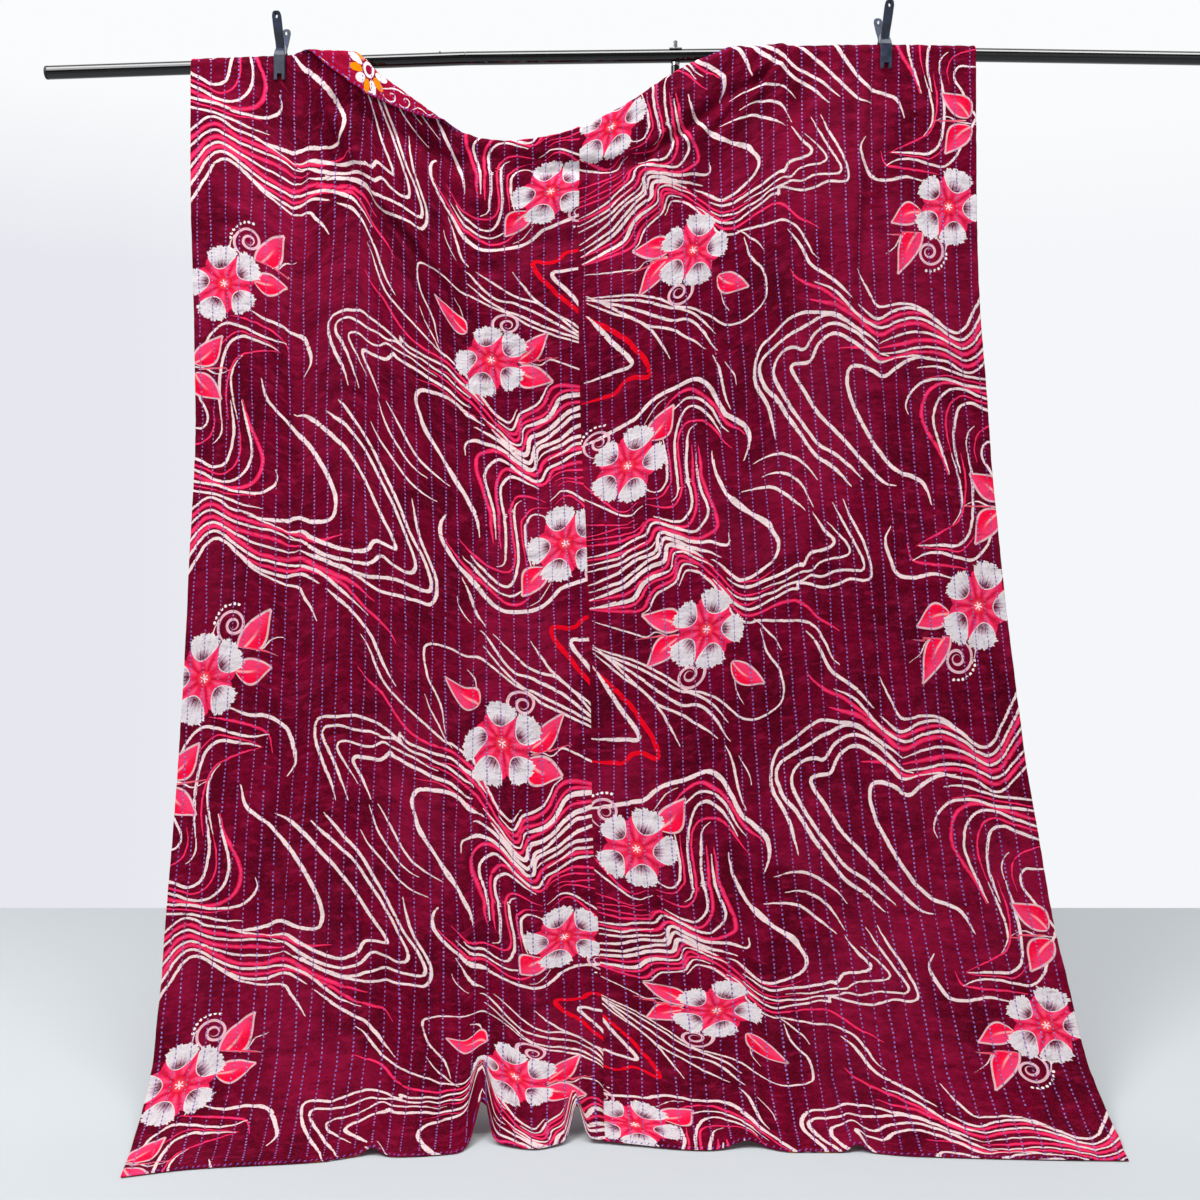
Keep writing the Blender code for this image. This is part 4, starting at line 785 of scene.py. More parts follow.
    ("cream", 4.0, (790, -392, 744, -425, 730, -436, 715, -445, 700, -447, 690, -440, 678, -433)),
    ("pink", 5.0, (790, -360, 746, -410, 732, -426, 718, -436, 707, -437, 696, -430, 688, -424)),
    ("red", 8.5, (790, -193, 749, -191, 733, -191, 724, -184, 715, -173, 698, -171, 678, -180, 670, -180,
        672, -165, 684, -139, 701, -115, 718, -89, 736, -69, 749, -54, 790, -10)),
    ("cream", 7.5, (790, -149, 747, -147, 726, -146, 709, -147, 705, -140, 715, -122, 729, -104, 740, -89,
        749, -75, 790, -6)),
    ("cream", 6.5, (97, -693, 132, -682, 168, -685, 201, -676, 217, -641, 222, -611, 209, -591)),
    ("pink", 5.5, (63, -680, 104, -671, 146, -663, 172, -654, 180, -625)),
    ("cream", 5.0, (-40, -524, 12, -617, 27, -644, 52, -664, 81, -659, 116, -648, 146, -647, 172, -656)),
    ("pink", 3.5, (33, -605, 53, -630, 78, -648, 105, -643, 137, -638, 163, -631)),
    ("cream", 5.5, (50, -470, 45, -520, 47, -574, 59, -620, 84, -638, 111, -635, 139, -633, 158, -631)),
    ("pink", 4.5, (64, -469, 58, -520, 63, -563, 77, -594, 105, -609, 163, -631)),
    ("cream", 4.0, (82, -470, 73, -508, 67, -551, 73, -580, 89, -601)),
    ("cream", 4.5, (-40, -609, 9, -510, 22, -484, 22, -464, 12, -453, 1, -454, -40, -456)),
    ("pink", 4.0, (33, -492, 37, -464, 30, -438, 14, -425, 4, -422, -40, -411)),
    ("cream", 5.0, (51, -470, 52, -446, 44, -429, 35, -422)),
    ("cream", 5.5, (67, -509, 74, -469, 76, -440, 71, -406, 61, -382, 39, -376, 19, -386, 3, -393,
        -40, -413)),
    ("pink", 4.5, (82, -470, 89, -435, 89, -400, 76, -372, 52, -361, 26, -372, 4, -380, -40, -396)),
    ("cream", 5.0, (89, -510, 97, -476, 110, -431, 113, -400, 102, -367, 77, -348, 47, -350, 23, -363,
        5, -370, -40, -390)),
    ("pink", 8.0, (92, -510, 102, -471, 124, -429, 135, -395, 126, -358, 103, -338, 70, -335, 38, -347,
        6, -359, -40, -376)),
    ("cream", 5.0, (160, -391, 164, -373, 153, -348, 126, -329, 84, -328, 50, -340, 7, -348, -40, -358)),
    ("pink", 3.5, (126, -324, 82, -321, 43, -332, 8, -340, -40, -352)),
    ("cream", 4.5, (139, -303, 106, -302, 74, -313, 43, -324, 8, -330, -40, -339)),
    ("cream", 6.5, (541, -380, 540, -399, 532, -423, 520, -451, 504, -466, 488, -489, 475, -505, 461, -520,
        449, -536, 440, -555, 434, -571, 437, -587, 449, -600, 470, -608, 490, -614, 505, -615, 520, -612,
        539, -593, 555, -578, 567, -571)),
    ("pink", 3.0, (432, -613, 450, -617, 475, -624, 496, -622, 515, -617, 534, -603, 553, -585)),
    ("cream", 8.0, (484, -395, 476, -380, 472, -364, 473, -347, 480, -333, 491, -320, 503, -308, 519, -295,
        536, -265, 551, -240, 568, -224, 585, -218, 601, -220, 621, -224, 643, -226, 661, -232, 674, -242,
        688, -255, 708, -261, 790, -285)),
    ("pink", 7.0, (480, -347, 489, -335, 504, -323, 521, -306, 538, -279, 555, -260, 573, -245, 588, -235,
        603, -235, 619, -242, 632, -254, 642, -267)),
    ("cream", 4.5, (511, -332, 526, -315, 543, -285, 560, -266, 577, -254, 595, -251, 608, -258, 622, -268,
        639, -273)),
    ("cream", 3.5, (631, -235, 648, -242, 661, -257, 672, -274)),
    ("cream", 3.2, (141, -788, 154, -794, 167, -814, 190, -828)),
    ("cream", 3.2, (538, -790, 531, -822, 518, -844)),
    ("cream", 3.2, (657, -697, 679, -685, 696, -693, 719, -683, 790, -653)),
    ("cream", 3.0, (-40, -582, 0, -576, 18, -573, 40, -562, 66, -571)),
    ("cream", 4.0, (64, -796, 62, -819, 70, -838)),
    ("cream", 4.0, (594, -751, 595, -783, 604, -801)),
)
COLOURS = {"cream": 0, "pink": 1, "red": 2}
LINES_APART = 0.020
LINE_TAPER = 0.050
LINE_REACH = 0.016
LINE_STEP = 0.006
# A line's width: its share at the tips, how fast it goes past an end, how many millimetres beside the line it
# starts to fall below 0 and how fast, and what it is away from every line.
LINE_TIP = 0.35
LINE_ENDS_BY = 0.6
LINE_CLEAR = 2.2
LINE_FALLS_BY = 2.0
LINE_NOWHERE = -5.0


def warp_of(rows):
    """A smooth move of the plane that brings each place on the cloth to its place in the print."""
    table = np.array(rows)
    place = table[:, :2]
    count = len(place)
    near = np.exp(-((place[:, None] - place[None]) ** 2).sum(-1) / WARP_REACH**2)
    system = np.zeros((count + 3, count + 3))
    system[:count, :count] = near + WARP_SOFT * np.eye(count)
    system[:count, count] = system[count, :count] = 1
    system[:count, count + 1 :] = place
    system[count + 1 :, :count] = place.T
    known = np.zeros((count + 3, 2))
    known[:count] = table[:, 2:] - place
    weights = np.linalg.solve(system, known)

    def warp(u, v):
        at = np.stack([u, v], -1)
        share = np.exp(-((at[..., None, :] - place) ** 2).sum(-1) / WARP_REACH**2)
        return at + share @ weights[:count] + weights[count] + at @ weights[count + 1 :]

    return warp


def smooth_line(points, step):
    """Points step apart along a smooth curve through these."""
    points = np.array(points, float) / CM_IN_M
    ends = [2 * points[0] - points[1], *points, 2 * points[-1] - points[-2]]
    drawn = []
    for a, b, c, d in zip(ends, ends[1:], ends[2:], ends[3:]):
        count = max(2, int(math.ceil(np.linalg.norm(c - b) / step)))
        t = (np.arange(count) / count)[:, None]
        drawn.append(
            0.5 * (2 * b + (c - a) * t + (2 * a - 5 * b + 4 * c - d) * t**2 + (3 * b - a - 3 * c + d) * t**3)
        )
    return np.concatenate([*drawn, points[-1:]])


def distance_to(line, at):
    """Each place's signed distance from a line, how far along it that is, and how far past an end it lies."""
    best = np.full(len(at), 1.0)
    signed, along, past = np.zeros(len(at)), np.zeros(len(at)), np.zeros(len(at))
    legs = np.diff(line, axis=0)
    sizes = np.linalg.norm(legs, axis=1)
    start = np.concatenate([[0], np.cumsum(sizes)])
    for i, (leg, size) in enumerate(zip(legs, sizes)):
        off = at - line[i]
        share = off @ leg / size**2
        t = np.clip(share, 0, 1)
        gap = off - t[:, None] * leg
        far = np.hypot(gap[:, 0], gap[:, 1])
        nearer = far < best
        best[nearer] = far[nearer]
        side = np.where(leg[0] * off[:, 1] - leg[1] * off[:, 0] < 0, -1.0, 1.0)
        signed[nearer] = (side * far)[nearer]
        along[nearer] = (start[i] + t * size)[nearer]
        beyond = np.zeros(len(at))
        if i == 0:
            beyond = np.maximum(beyond, -share * size)
        if i == len(legs) - 1:
            beyond = np.maximum(beyond, (share - 1) * size)
        past[nearer] = beyond[nearer]
    return signed, np.minimum(along, start[-1] - along), past


def line_layers(shapes, repeat):
    """Numbers for the lines so that lines with one number are LINES_APART or more from each other."""
    count = len(shapes)
    near = np.zeros((count, count), bool)
    for i in range(count):
        for j in range(i):
            for k in (-1, 0, 1):
                gap = shapes[i][:, None] - shapes[j][None] - np.array([0.0, k * repeat])
                near[i, j] |= bool((gap**2).sum(-1).min() < LINES_APART**2)
    near |= near.T
    layers = np.full(count, -1)
    for i in np.argsort(-near.sum(1), kind="stable"):
        used = set(layers[near[i]])
        layers[i] = next(n for n in range(count) if n not in used)
    return layers


def add_lines(mesh, name, at, lines, repeat):
    """Writes, for each layer of lines at every place in the print: the signed distance from the nearest line,
    half that line's width, both in millimetres, and the number of its colour. Half the width falls below 0
    away from the line, so that nothing shows where the nearest line changes."""
    shapes = [smooth_line(points, LINE_STEP) for _, _, points in lines]
    layers = line_layers(shapes, repeat)
    count = int(layers.max()) + 1
    nearest = np.full((count, len(at)), LINE_REACH)
    fields = np.zeros((count, len(at), 3))
    fields[..., 1] = LINE_NOWHERE
    for shape, layer, (shade, width, _) in zip(shapes, layers, lines):
        low, high = shape.min(0) - LINE_REACH, shape.max(0) + LINE_REACH
        first = int(math.floor((at[:, 1].min() - high[1]) / repeat))
        last = int(math.ceil((at[:, 1].max() - low[1]) / repeat))
        for k in range(first, last + 1):
            moved = at - np.array([0.0, k * repeat])
            index = np.flatnonzero(((moved > low) & (moved < high)).all(-1))
            if not len(index):
                continue
            signed, along, past = distance_to(shape, moved[index])
            wins = np.abs(signed) < nearest[layer, index]
            index, along = index[wins], along[wins]
            signed, past = signed[wins] * MM_IN_M, past[wins] * MM_IN_M
            nearest[layer, index] = np.abs(signed) / MM_IN_M
            taper = LINE_TIP + (1 - LINE_TIP) * ramp(along, 0.0, LINE_TAPER)
            half = width / 2 * taper - LINE_ENDS_BY * past
            half -= LINE_FALLS_BY * np.maximum(np.abs(signed) - width / 2 - LINE_CLEAR, 0)
            fields[layer, index] = np.stack([signed, half, np.full(len(index), COLOURS[shade])], -1)
    for layer, field in enumerate(fields):
        add_vector(mesh, f"{name}_{layer}", field)


def nearest_motif(at, centres, repeat, room):
    """For each place: offset from the nearest motif, that motif's number, and 1 inside its room."""
    best = np.full(len(at), np.inf)
    offset = np.zeros((len(at), 2))
    which = np.zeros(len(at), int)
    low, high = at[:, 1].min(), at[:, 1].max()
    for i, (u, v) in enumerate(centres):
        for k in range(int(math.floor((low - v) / repeat)), int(math.ceil((high - v) / repeat)) + 1):
            off = at - np.array([u, v + k * repeat])
            far = np.hypot(off[:, 0], off[:, 1])
            wins = far < best
            best[wins], offset[wins], which[wins] = far[wins], off[wins], i
    return offset, which, (best < room).astype(float)


def turned_offset(offset, degrees):
    """Offsets with y up the cloth, turned so that x points along the given direction."""
    angle = np.radians(degrees)
    x, y = offset[:, 0], -offset[:, 1]
    return x * np.cos(angle) + y * np.sin(angle), -x * np.sin(angle) + y * np.cos(angle)


def add_flowers(mesh, name, at, flowers, radius, room, repeat):
    """Writes each place's offset from the nearest flower, in the flower's radii, and 1 inside its room."""
    table = np.array(flowers, float)
    offset, which, inside = nearest_motif(at, table[:, :2] / CM_IN_M, repeat, room)
    x, y = turned_offset(offset, table[which, 2])
    add_vector(mesh, name, np.stack([x / radius, y / radius, inside], -1))


def add_print(mesh, at):
    """Writes what the printed cloth's material reads, for places in the print."""
    lines = [(shade, width, np.reshape(places, (-1, 2)) / MM_IN_CM) for shade, width, places in LINES]
    add_lines(mesh, "print_lines", at, lines, PRINT_REPEAT)
    add_flowers(mesh, "print_flower", at, FLOWERS, FLOWER_RADIUS, FLOWER_ROOM, PRINT_REPEAT)

    table = np.array(LEAVES) / CM_IN_M
    feet, tips = table[:, :2], table[:, 2:4]
    middles = (feet + tips) / 2
    sizes = np.linalg.norm(tips - feet, axis=1)
    ways = np.degrees(np.arctan2(-(tips - feet)[:, 1], (tips - feet)[:, 0]))
    offset, which, inside = nearest_motif(at, middles, PRINT_REPEAT, sizes.max() / 2 + LEAF_ROOM)
    x, y = turned_offset(offset, ways[which])
    x = x / sizes[which] + 0.5
    add_vector(mesh, "print_leaf", np.stack([x, y / table[which, 4], inside], -1))

    table = np.array(CURLS, float)
    offset, which, inside = nearest_motif(at, table[:, :2] / CM_IN_M, PRINT_REPEAT, CURL_ROOM)
    x, y = turned_offset(offset, table[which, 3])
    radius = table[which, 2] / CM_IN_M
    add_vector(mesh, "print_curl", np.stack([x / radius, y / radius, inside * (1 + table[which, 4])], -1))


# Reverse cloth: daisies with a scroll beside each, in centimetres, on its own repeat. Every second column of
# the print lies BACK_DROP lower, and the first starts at BACK_START.
BACK_REPEAT = (0.36, 0.34)
BACK_DROP = 0.11
BACK_START = (0.260, -0.024)
DAISY_RADIUS = 0.046
DAISY_ROOM = DAISY_RADIUS * 1.1
DAISIES = ((7.0, 7.0, 10), (24.0, 24.0, 25))
BACK_SCROLL = (
    ("cream", 4.6, ((7.6, 5.0), (6.6, 4.3), (6.3, 3.5), (7.2, 3.0), (8.2, 3.4), (8.9, 4.4), (9.4, 5.2))),
    ("cream", 3.6, ((9.3, 4.9), (10.6, 4.7), (12.0, 5.3), (13.4, 5.7), (15.0, 5.4), (16.6, 5.6))),
    ("cream", 3.8, ((10.4, 3.9), (11.0, 3.1), (12.2, 2.9), (13.2, 3.6), (13.0, 4.6), (12.1, 4.5),
        (12.0, 3.9))),
    ("cream", 3.8, ((14.0, 3.2), (15.0, 2.8), (16.2, 3.4), (16.3, 4.4), (15.4, 4.7), (14.9, 4.1))),
    ("cream", 3.6, ((17.0, 3.0), (18.2, 3.7), (19.4, 3.4), (20.6, 2.8), (21.8, 3.4))),
    ("cream", 3.4, ((10.0, 6.3), (10.5, 6.4))),
    ("cream", 3.4, ((11.4, 6.6), (11.9, 6.6))),
    ("cream", 3.4, ((12.8, 6.8), (13.3, 6.8))),
    ("cream", 3.2, ((9.8, 7.9), (11.8, 9.7), (11.2, 12.4), (8.8, 13.8), (6.6, 12.8), (7.0, 11.2))),
)
# The scroll's twin is mirrored about half of the first and lies lower by the second.
TWIN = (31.0, 17.0)
BACK_STROKES = (
    ("cream", 3.2, ((33.4, 13.8), (35.2, 13.9))),
    ("cream", 3.4, ((34.2, 2.8), (35.6, 3.4))),
    ("cream", 3.4, ((1.6, 2.7), (2.9, 3.0))),
    ("cream", 3.2, ((1.0, 19.0), (3.2, 21.0), (2.8, 24.0), (1.2, 26.0))),
    ("cream", 3.2, ((24.6, 4.2), (26.8, 5.6), (29.6, 5.2), (31.6, 3.2))),
    ("cream", 3.2, ((26.0, 8.2), (28.6, 9.8), (31.4, 9.2), (33.0, 7.2))),
)


def back_line_table():
    """The scroll as charted, its mirrored twin beside the second daisy, and the loose strokes."""
    across, down = TWIN
    twin = [(shade, wide, [(across - u, v + down) for u, v in places]) for shade, wide, places in BACK_SCROLL]
    return [*BACK_SCROLL, *twin, *BACK_STROKES]


def add_back_print(mesh, at):
    """Writes what the reverse cloth's material reads."""
    wide, long = BACK_REPEAT
    moved = at - np.array(BACK_START)
    column = np.floor(moved[:, 0] / wide)
    local = np.stack([moved[:, 0] - column * wide, moved[:, 1] + BACK_DROP * (column % 2)], -1)
    add_lines(mesh, "back_lines", local, back_line_table(), long)
    add_flowers(mesh, "back_daisy", local, DAISIES, DAISY_RADIUS, DAISY_ROOM, long)


# ----------------------------------------------------------------- materials
class Value:
    """What a node gives, so that sums of it are written as they are read."""

    def __init__(self, net, socket):
        self.net, self.socket = net, socket

    def __add__(self, other):
        return self.net.math("ADD", self, other)

    def __radd__(self, other):
        return self.net.math("ADD", other, self)

    def __sub__(self, other):
        return self.net.math("SUBTRACT", self, other)

    def __rsub__(self, other):
        return self.net.math("SUBTRACT", other, self)

    def __mul__(self, other):
        return self.net.math("MULTIPLY", self, other)

    def __truediv__(self, other):
        return self.net.math("DIVIDE", self, other)


class Net:
    """Short names for the shader nodes of one material or world."""

    def __init__(self, owner, shader="Principled BSDF"):
        self.owner = owner
        owner.use_nodes = True
        self.tree = owner.node_tree
        self.shader = self.tree.nodes[shader]

    def put(self, kind, inputs=(), **settings):
        """Adds a node; its inputs are given by name or number."""
        node = self.tree.nodes.new(kind)
        for key, value in settings.items():
            setattr(node, key, value)
        for key, value in dict(inputs).items():
            self.give(node.inputs[key], value)
        return [Value(self, socket) for socket in node.outputs]

    def give(self, socket, value):
        if isinstance(value, Value):
            self.tree.links.new(value.socket, socket)
        else:
            socket.default_value = value

    def math(self, operation, *values, clamp=False):
        return self.put("ShaderNodeMath", dict(enumerate(values)), operation=operation, use_clamp=clamp)[0]

    def sin(self, value):
        return self.math("SINE", value)

    def cos(self, value):
        return self.math("COSINE", value)

    def size(self, value):
        return self.math("ABSOLUTE", value)

    def most(self, a, b):
        return self.math("MAXIMUM", a, b)

    def far(self, a, b):
        """How far (a, b) lies from (0, 0)."""
        return self.math("SQRT", a * a + b * b)

    def between(self, value, low, high, first=0.0, last=1.0, kind="LINEAR"):
        """first where the value is low or less, last where it is high or more."""
        ends = {"Value": value, "From Min": low, "From Max": high, "To Min": first, "To Max": last}
        return self.put("ShaderNodeMapRange", ends, interpolation_type=kind)[0]

    def step(self, value, low, high):
        """0 below low, 1 above high, smooth between; the other way round if low is above high."""
        ends = (high, low, 1.0, 0.0) if low > high else (low, high)
        return self.between(value, *ends, kind="SMOOTHSTEP")

    def mix(self, share, a, b):
        return self.put("ShaderNodeMix", {0: share, 6: a, 7: b}, data_type="RGBA")[2]

    def attribute(self, name):
        """The named vector that the mesh carries."""
        return self.put("ShaderNodeAttribute", attribute_name=name)[1]

    def place(self):
        return self.put("ShaderNodeTexCoord")[3]

    def parts(self, vector):
        return self.put("ShaderNodeSeparateXYZ", {0: vector})

    def noise(self, vector, scale, detail=2.0, roughness=0.5):
        """Noise with its bumps at one scale, or at one along each axis."""
        if isinstance(scale, tuple):
            vector, scale = self.put("ShaderNodeMapping", {"Vector": vector, "Scale": scale})[0], 1.0
        sizes = {"Vector": vector, "Scale": scale, "Detail": detail, "Roughness": roughness}
        return self.put("ShaderNodeTexNoise", sizes)[0]

    def bump(self, height, strength, distance, **under):
        sizes = {"Height": height, "Strength": strength, "Distance": distance, **under}
        return self.put("ShaderNodeBump", sizes)[0]

    def set(self, **inputs):
        for key, value in inputs.items():
            self.give(self.shader.inputs[key.replace("_", " ")], value)
        return self.owner


def colour(red, green, blue):
    """A colour given as it looks on a screen, from 0 to 255."""
    linear = [c / 255 / 12.92 if c <= 10 else ((c / 255 + 0.055) / 1.055) ** 2.4 for c in (red, green, blue)]
    return (*linear, 1.0)


WEAVE_PITCH = 0.0011


def weave(net, flat):
    """Height of plain-woven cotton, with slubs and fine crumpling, over flat cloth positions in metres."""
    x, y, _ = net.parts(flat)
    threads = net.sin(x * (2 * math.pi / WEAVE_PITCH)) * net.sin(y * (2 * math.pi / WEAVE_PITCH))
    slub = net.noise(flat, (2600.0, 160.0, 1.0), 1.0)
    cross = net.noise(flat, (160.0, 2600.0, 1.0), 1.0)
    grain = threads * 0.35 + (slub + cross)
    crumple = net.noise(flat, (60.0, 150.0, 1.0), 3.0, 0.6)
    return grain, crumple


def cloth_bump(net, flat):
    grain, crumple = weave(net, flat)
    soft = net.bump(crumple, 0.85, 0.0024)
    return net.bump(grain, 0.25, 0.00025, Normal=soft)


def ground_colour(net, flat, dark, mid, light):
    """The dyed ground: uneven, a little faded where the cloth has been handled."""
    broad = net.noise(flat, 9.0, 5.0, 0.68)
    fine = net.noise(flat, (420.0, 300.0, 1.0), 3.0, 0.7)
    worn = net.noise(flat, (16.0, 22.0, 1.0), 5.0, 0.65)
    base = net.mix(net.step(broad, 0.40, 0.60), dark, mid)
    handled = net.noise(flat, 2.8, 3.0, 0.55)
    base = net.mix(net.step(handled, 0.46, 0.66) * 0.4, base, light)
    base = net.mix(net.step(worn, 0.52, 0.78) * 0.55, base, light)
    between = net.noise(flat, (34.0, 78.0, 1.0), 4.0, 0.68)
    base = net.mix(net.step(between, 0.5, 0.7) * 0.5, base, light)
    base = net.mix(net.step(between, 0.46, 0.32) * 0.6, base, dark)
    return net.mix(net.step(fine, 0.42, 0.72) * 0.36, base, light)


def tuck_with_painted_shade(net, flat):
    """1 on open cloth, less where a stitch row or a pucker takes the cloth in: lines thin there and shade is
    painted.
    """
    even = net.parts(flat)[2]
    from_row = net.size(net.sin((even - ROW_FIRST) * (math.pi / ROW_PITCH)))
    row = net.step(from_row, 0.2, 0.02) * 0.3
    pucker = net.noise(flat, (38.0, 125.0, 1.0), 2.0, 0.6)
    return 1.0 - (row + net.step(pucker, 0.4, 0.28) * 0.45)


def line_masks(net, name, layers, wobble, shown_share):
    """Where cream, pink and red lines lie, how near a line's middle each place is, and a rim just outside
    them. Where the share falls below 1 the lines are thinner, as far as broken."""
    cream = pink = red = heart = rim = 0.0
    for layer in range(layers):
        signed, half, shade = net.parts(net.attribute(f"{name}_{layer}"))
        half = half * shown_share
        off = net.size(signed + wobble)
        inside = net.math("MULTIPLY_ADD", half - off, 1.6, 0.5, clamp=True)
        outside = net.math("MULTIPLY_ADD", half - off, 0.7, 1.4, clamp=True)
        shown = net.step(half, 0.15, 0.5)
        inside, outside = inside * shown, outside * shown
        cream = net.most(cream, inside * net.step(shade, 0.6, 0.4))
        red = net.most(red, inside * net.step(shade, 1.4, 1.6))
        pink = net.most(pink, inside)
        middle = net.math("MULTIPLY", inside, 1.0 - off / net.most(half, 0.5), clamp=True)
        heart = net.most(heart, middle)
        rim = net.most(rim, outside)
    return cream, pink, red, heart, rim


def folded_angle(net, x, y, count):
    """Radius, angle, and the angle from the nearest of count petals' axes."""
    part = 2 * math.pi / count
    radius = net.far(x, y)
    angle = net.math("ARCTAN2", y, x)
    folded = net.math("WRAP", angle + part / 2, part, 0.0) - part / 2
    return radius, angle, folded


LINE_LAYERS = {"front": 7, "back": 3}
PETALS = 5
DAISY_PETALS = 12
DOTS_ROUND = 26
DOT_RING = 1.27


def printed_cotton(name):
    net = Net(bpy.data.materials.new(name))
    flat = net.attribute("flat")
    dark, mid, light = colour(70, 0, 18), colour(100, 0, 31), colour(152, 20, 62)
    ground = ground_colour(net, flat, dark, mid, light)
    mottle = net.noise(flat, (300.0, 260.0, 1.0), 3.0, 0.6)
    patchy = net.noise(flat, (55.0, 70.0, 1.0), 3.0, 0.6)

    wobble = (patchy - 0.5) * 3.4 + (mottle - 0.5) * 0.9
    # One share thins the printed lines and paints shade into the stitch rows and puckers.
    tuck_and_shade = tuck_with_painted_shade(net, flat)
    cream, pink, red, heart, rim = line_masks(net, "print_lines", LINE_LAYERS["front"], wobble, tuck_and_shade)
    col = net.mix(rim * 0.45, ground, colour(66, 0, 22))
    pink_dye = net.mix(net.step(patchy, 0.38, 0.66), colour(200, 12, 62), colour(232, 24, 86))
    pink_dye = net.mix(net.step(heart, 0.25, 0.85) * 0.5, pink_dye, colour(244, 74, 122))
    col = net.mix(pink, col, pink_dye)
    col = net.mix(red, col, colour(222, 4, 30))
    cream_dye = net.mix(net.step(mottle, 0.46, 0.80), colour(234, 212, 212), colour(208, 168, 176))
    col = net.mix(cream, col, cream_dye)
    col = leaf_print(net, col, mottle)
    col = curl_print(net, col)
    col = flower_print(net, col, mottle, patchy)
    worn = net.noise(flat, (700.0, 520.0, 1.0), 2.0, 0.6)
    col = net.mix(net.step(worn, 0.6, 0.9) * 0.16, col, mid)
    # Painted shade: the ground darkens where a stitch row or a pucker takes the cloth in.
    col = net.mix(net.step(tuck_and_shade, 1.0, 0.5) * 0.35, col, dark)
    rough = net.between(mottle, 0.0, 1.0, 0.78, 0.95)
    return net.set(Base_Color=col, Roughness=rough, Normal=cloth_bump(net, flat), Specular_IOR_Level=0.04)


def leaf_print(net, col, mottle):
    x, y, inside = net.parts(net.attribute("print_leaf"))
    # The half width swells early and draws out to a tip that bends aside.
    bent = y + net.sin(x * 4.4) * 0.2
    swell = net.math("POWER", net.sin(net.math("POWER", net.most(x, 0.0), 0.72) * math.pi), 1.15)
    gap = swell - net.size(bent)
    within = net.step(x, 0.0, 0.02) * (net.step(x, 1.0, 0.98) * net.step(inside, 0.9, 0.99))
    tip = net.step(net.size(bent), 0.13, 0.09)
    outline = net.most(net.step(gap, -0.12, -0.06), tip * net.step(x, 0.6, 0.7)) * within
    fill = net.step(gap, 0.06, 0.12) * within
    rib = net.step(net.size(bent), 0.15, 0.03) * net.step(x, 0.62, 0.3)
    dye = net.mix(net.step(bent + x * 0.5, -0.35, 0.75), colour(238, 6, 58), colour(238, 56, 104))
    dye = net.mix(rib * 0.75, dye, colour(255, 176, 178))
    dye = net.mix(net.step(mottle, 0.5, 0.8) * 0.25, dye, colour(255, 96, 136))
    col = net.mix(outline, col, colour(222, 176, 184))
    return net.mix(fill, col, dye)


def curl_print(net, col):
    x, y, inside = net.parts(net.attribute("print_curl"))
    radius = net.far(x, y)
    angle = net.math("ARCTAN2", y, x)
    # The coil draws in from radius 1 by half at each turn.
    coil = net.math("LOGARITHM", net.most(radius, 0.05), 2.0) * 0.8 - angle / (2 * math.pi)
    off = net.size(coil - net.math("ROUND", coil)) * (radius * 0.89)
    band = net.step(off, 0.1, 0.07) * (net.step(radius, 1.16, 1.12) * net.step(radius, 0.24, 0.28))
    heart = net.step(off, 0.05, 0.02) * band
    shown = net.step(inside, 0.9, 0.99)
    col = net.mix(band * shown, col, colour(230, 186, 198))
    col = net.mix(heart * shown * 0.3, col, colour(190, 120, 146))
    # A ring of dots over part of the outside.
    part = 2 * math.pi / DOTS_ROUND
    folded = net.math("WRAP", angle, part, 0.0) - part / 2
    beside = folded * DOT_RING
    away = radius - DOT_RING
    dot = net.far(away, beside)
    arc = net.step(angle, -1.95, -1.93) * net.step(angle, 0.03, 0.01)
    dots = net.step(dot, 0.105, 0.085) * arc * net.step(inside, 1.9, 1.99)
    return net.mix(dots, col, colour(250, 238, 238))


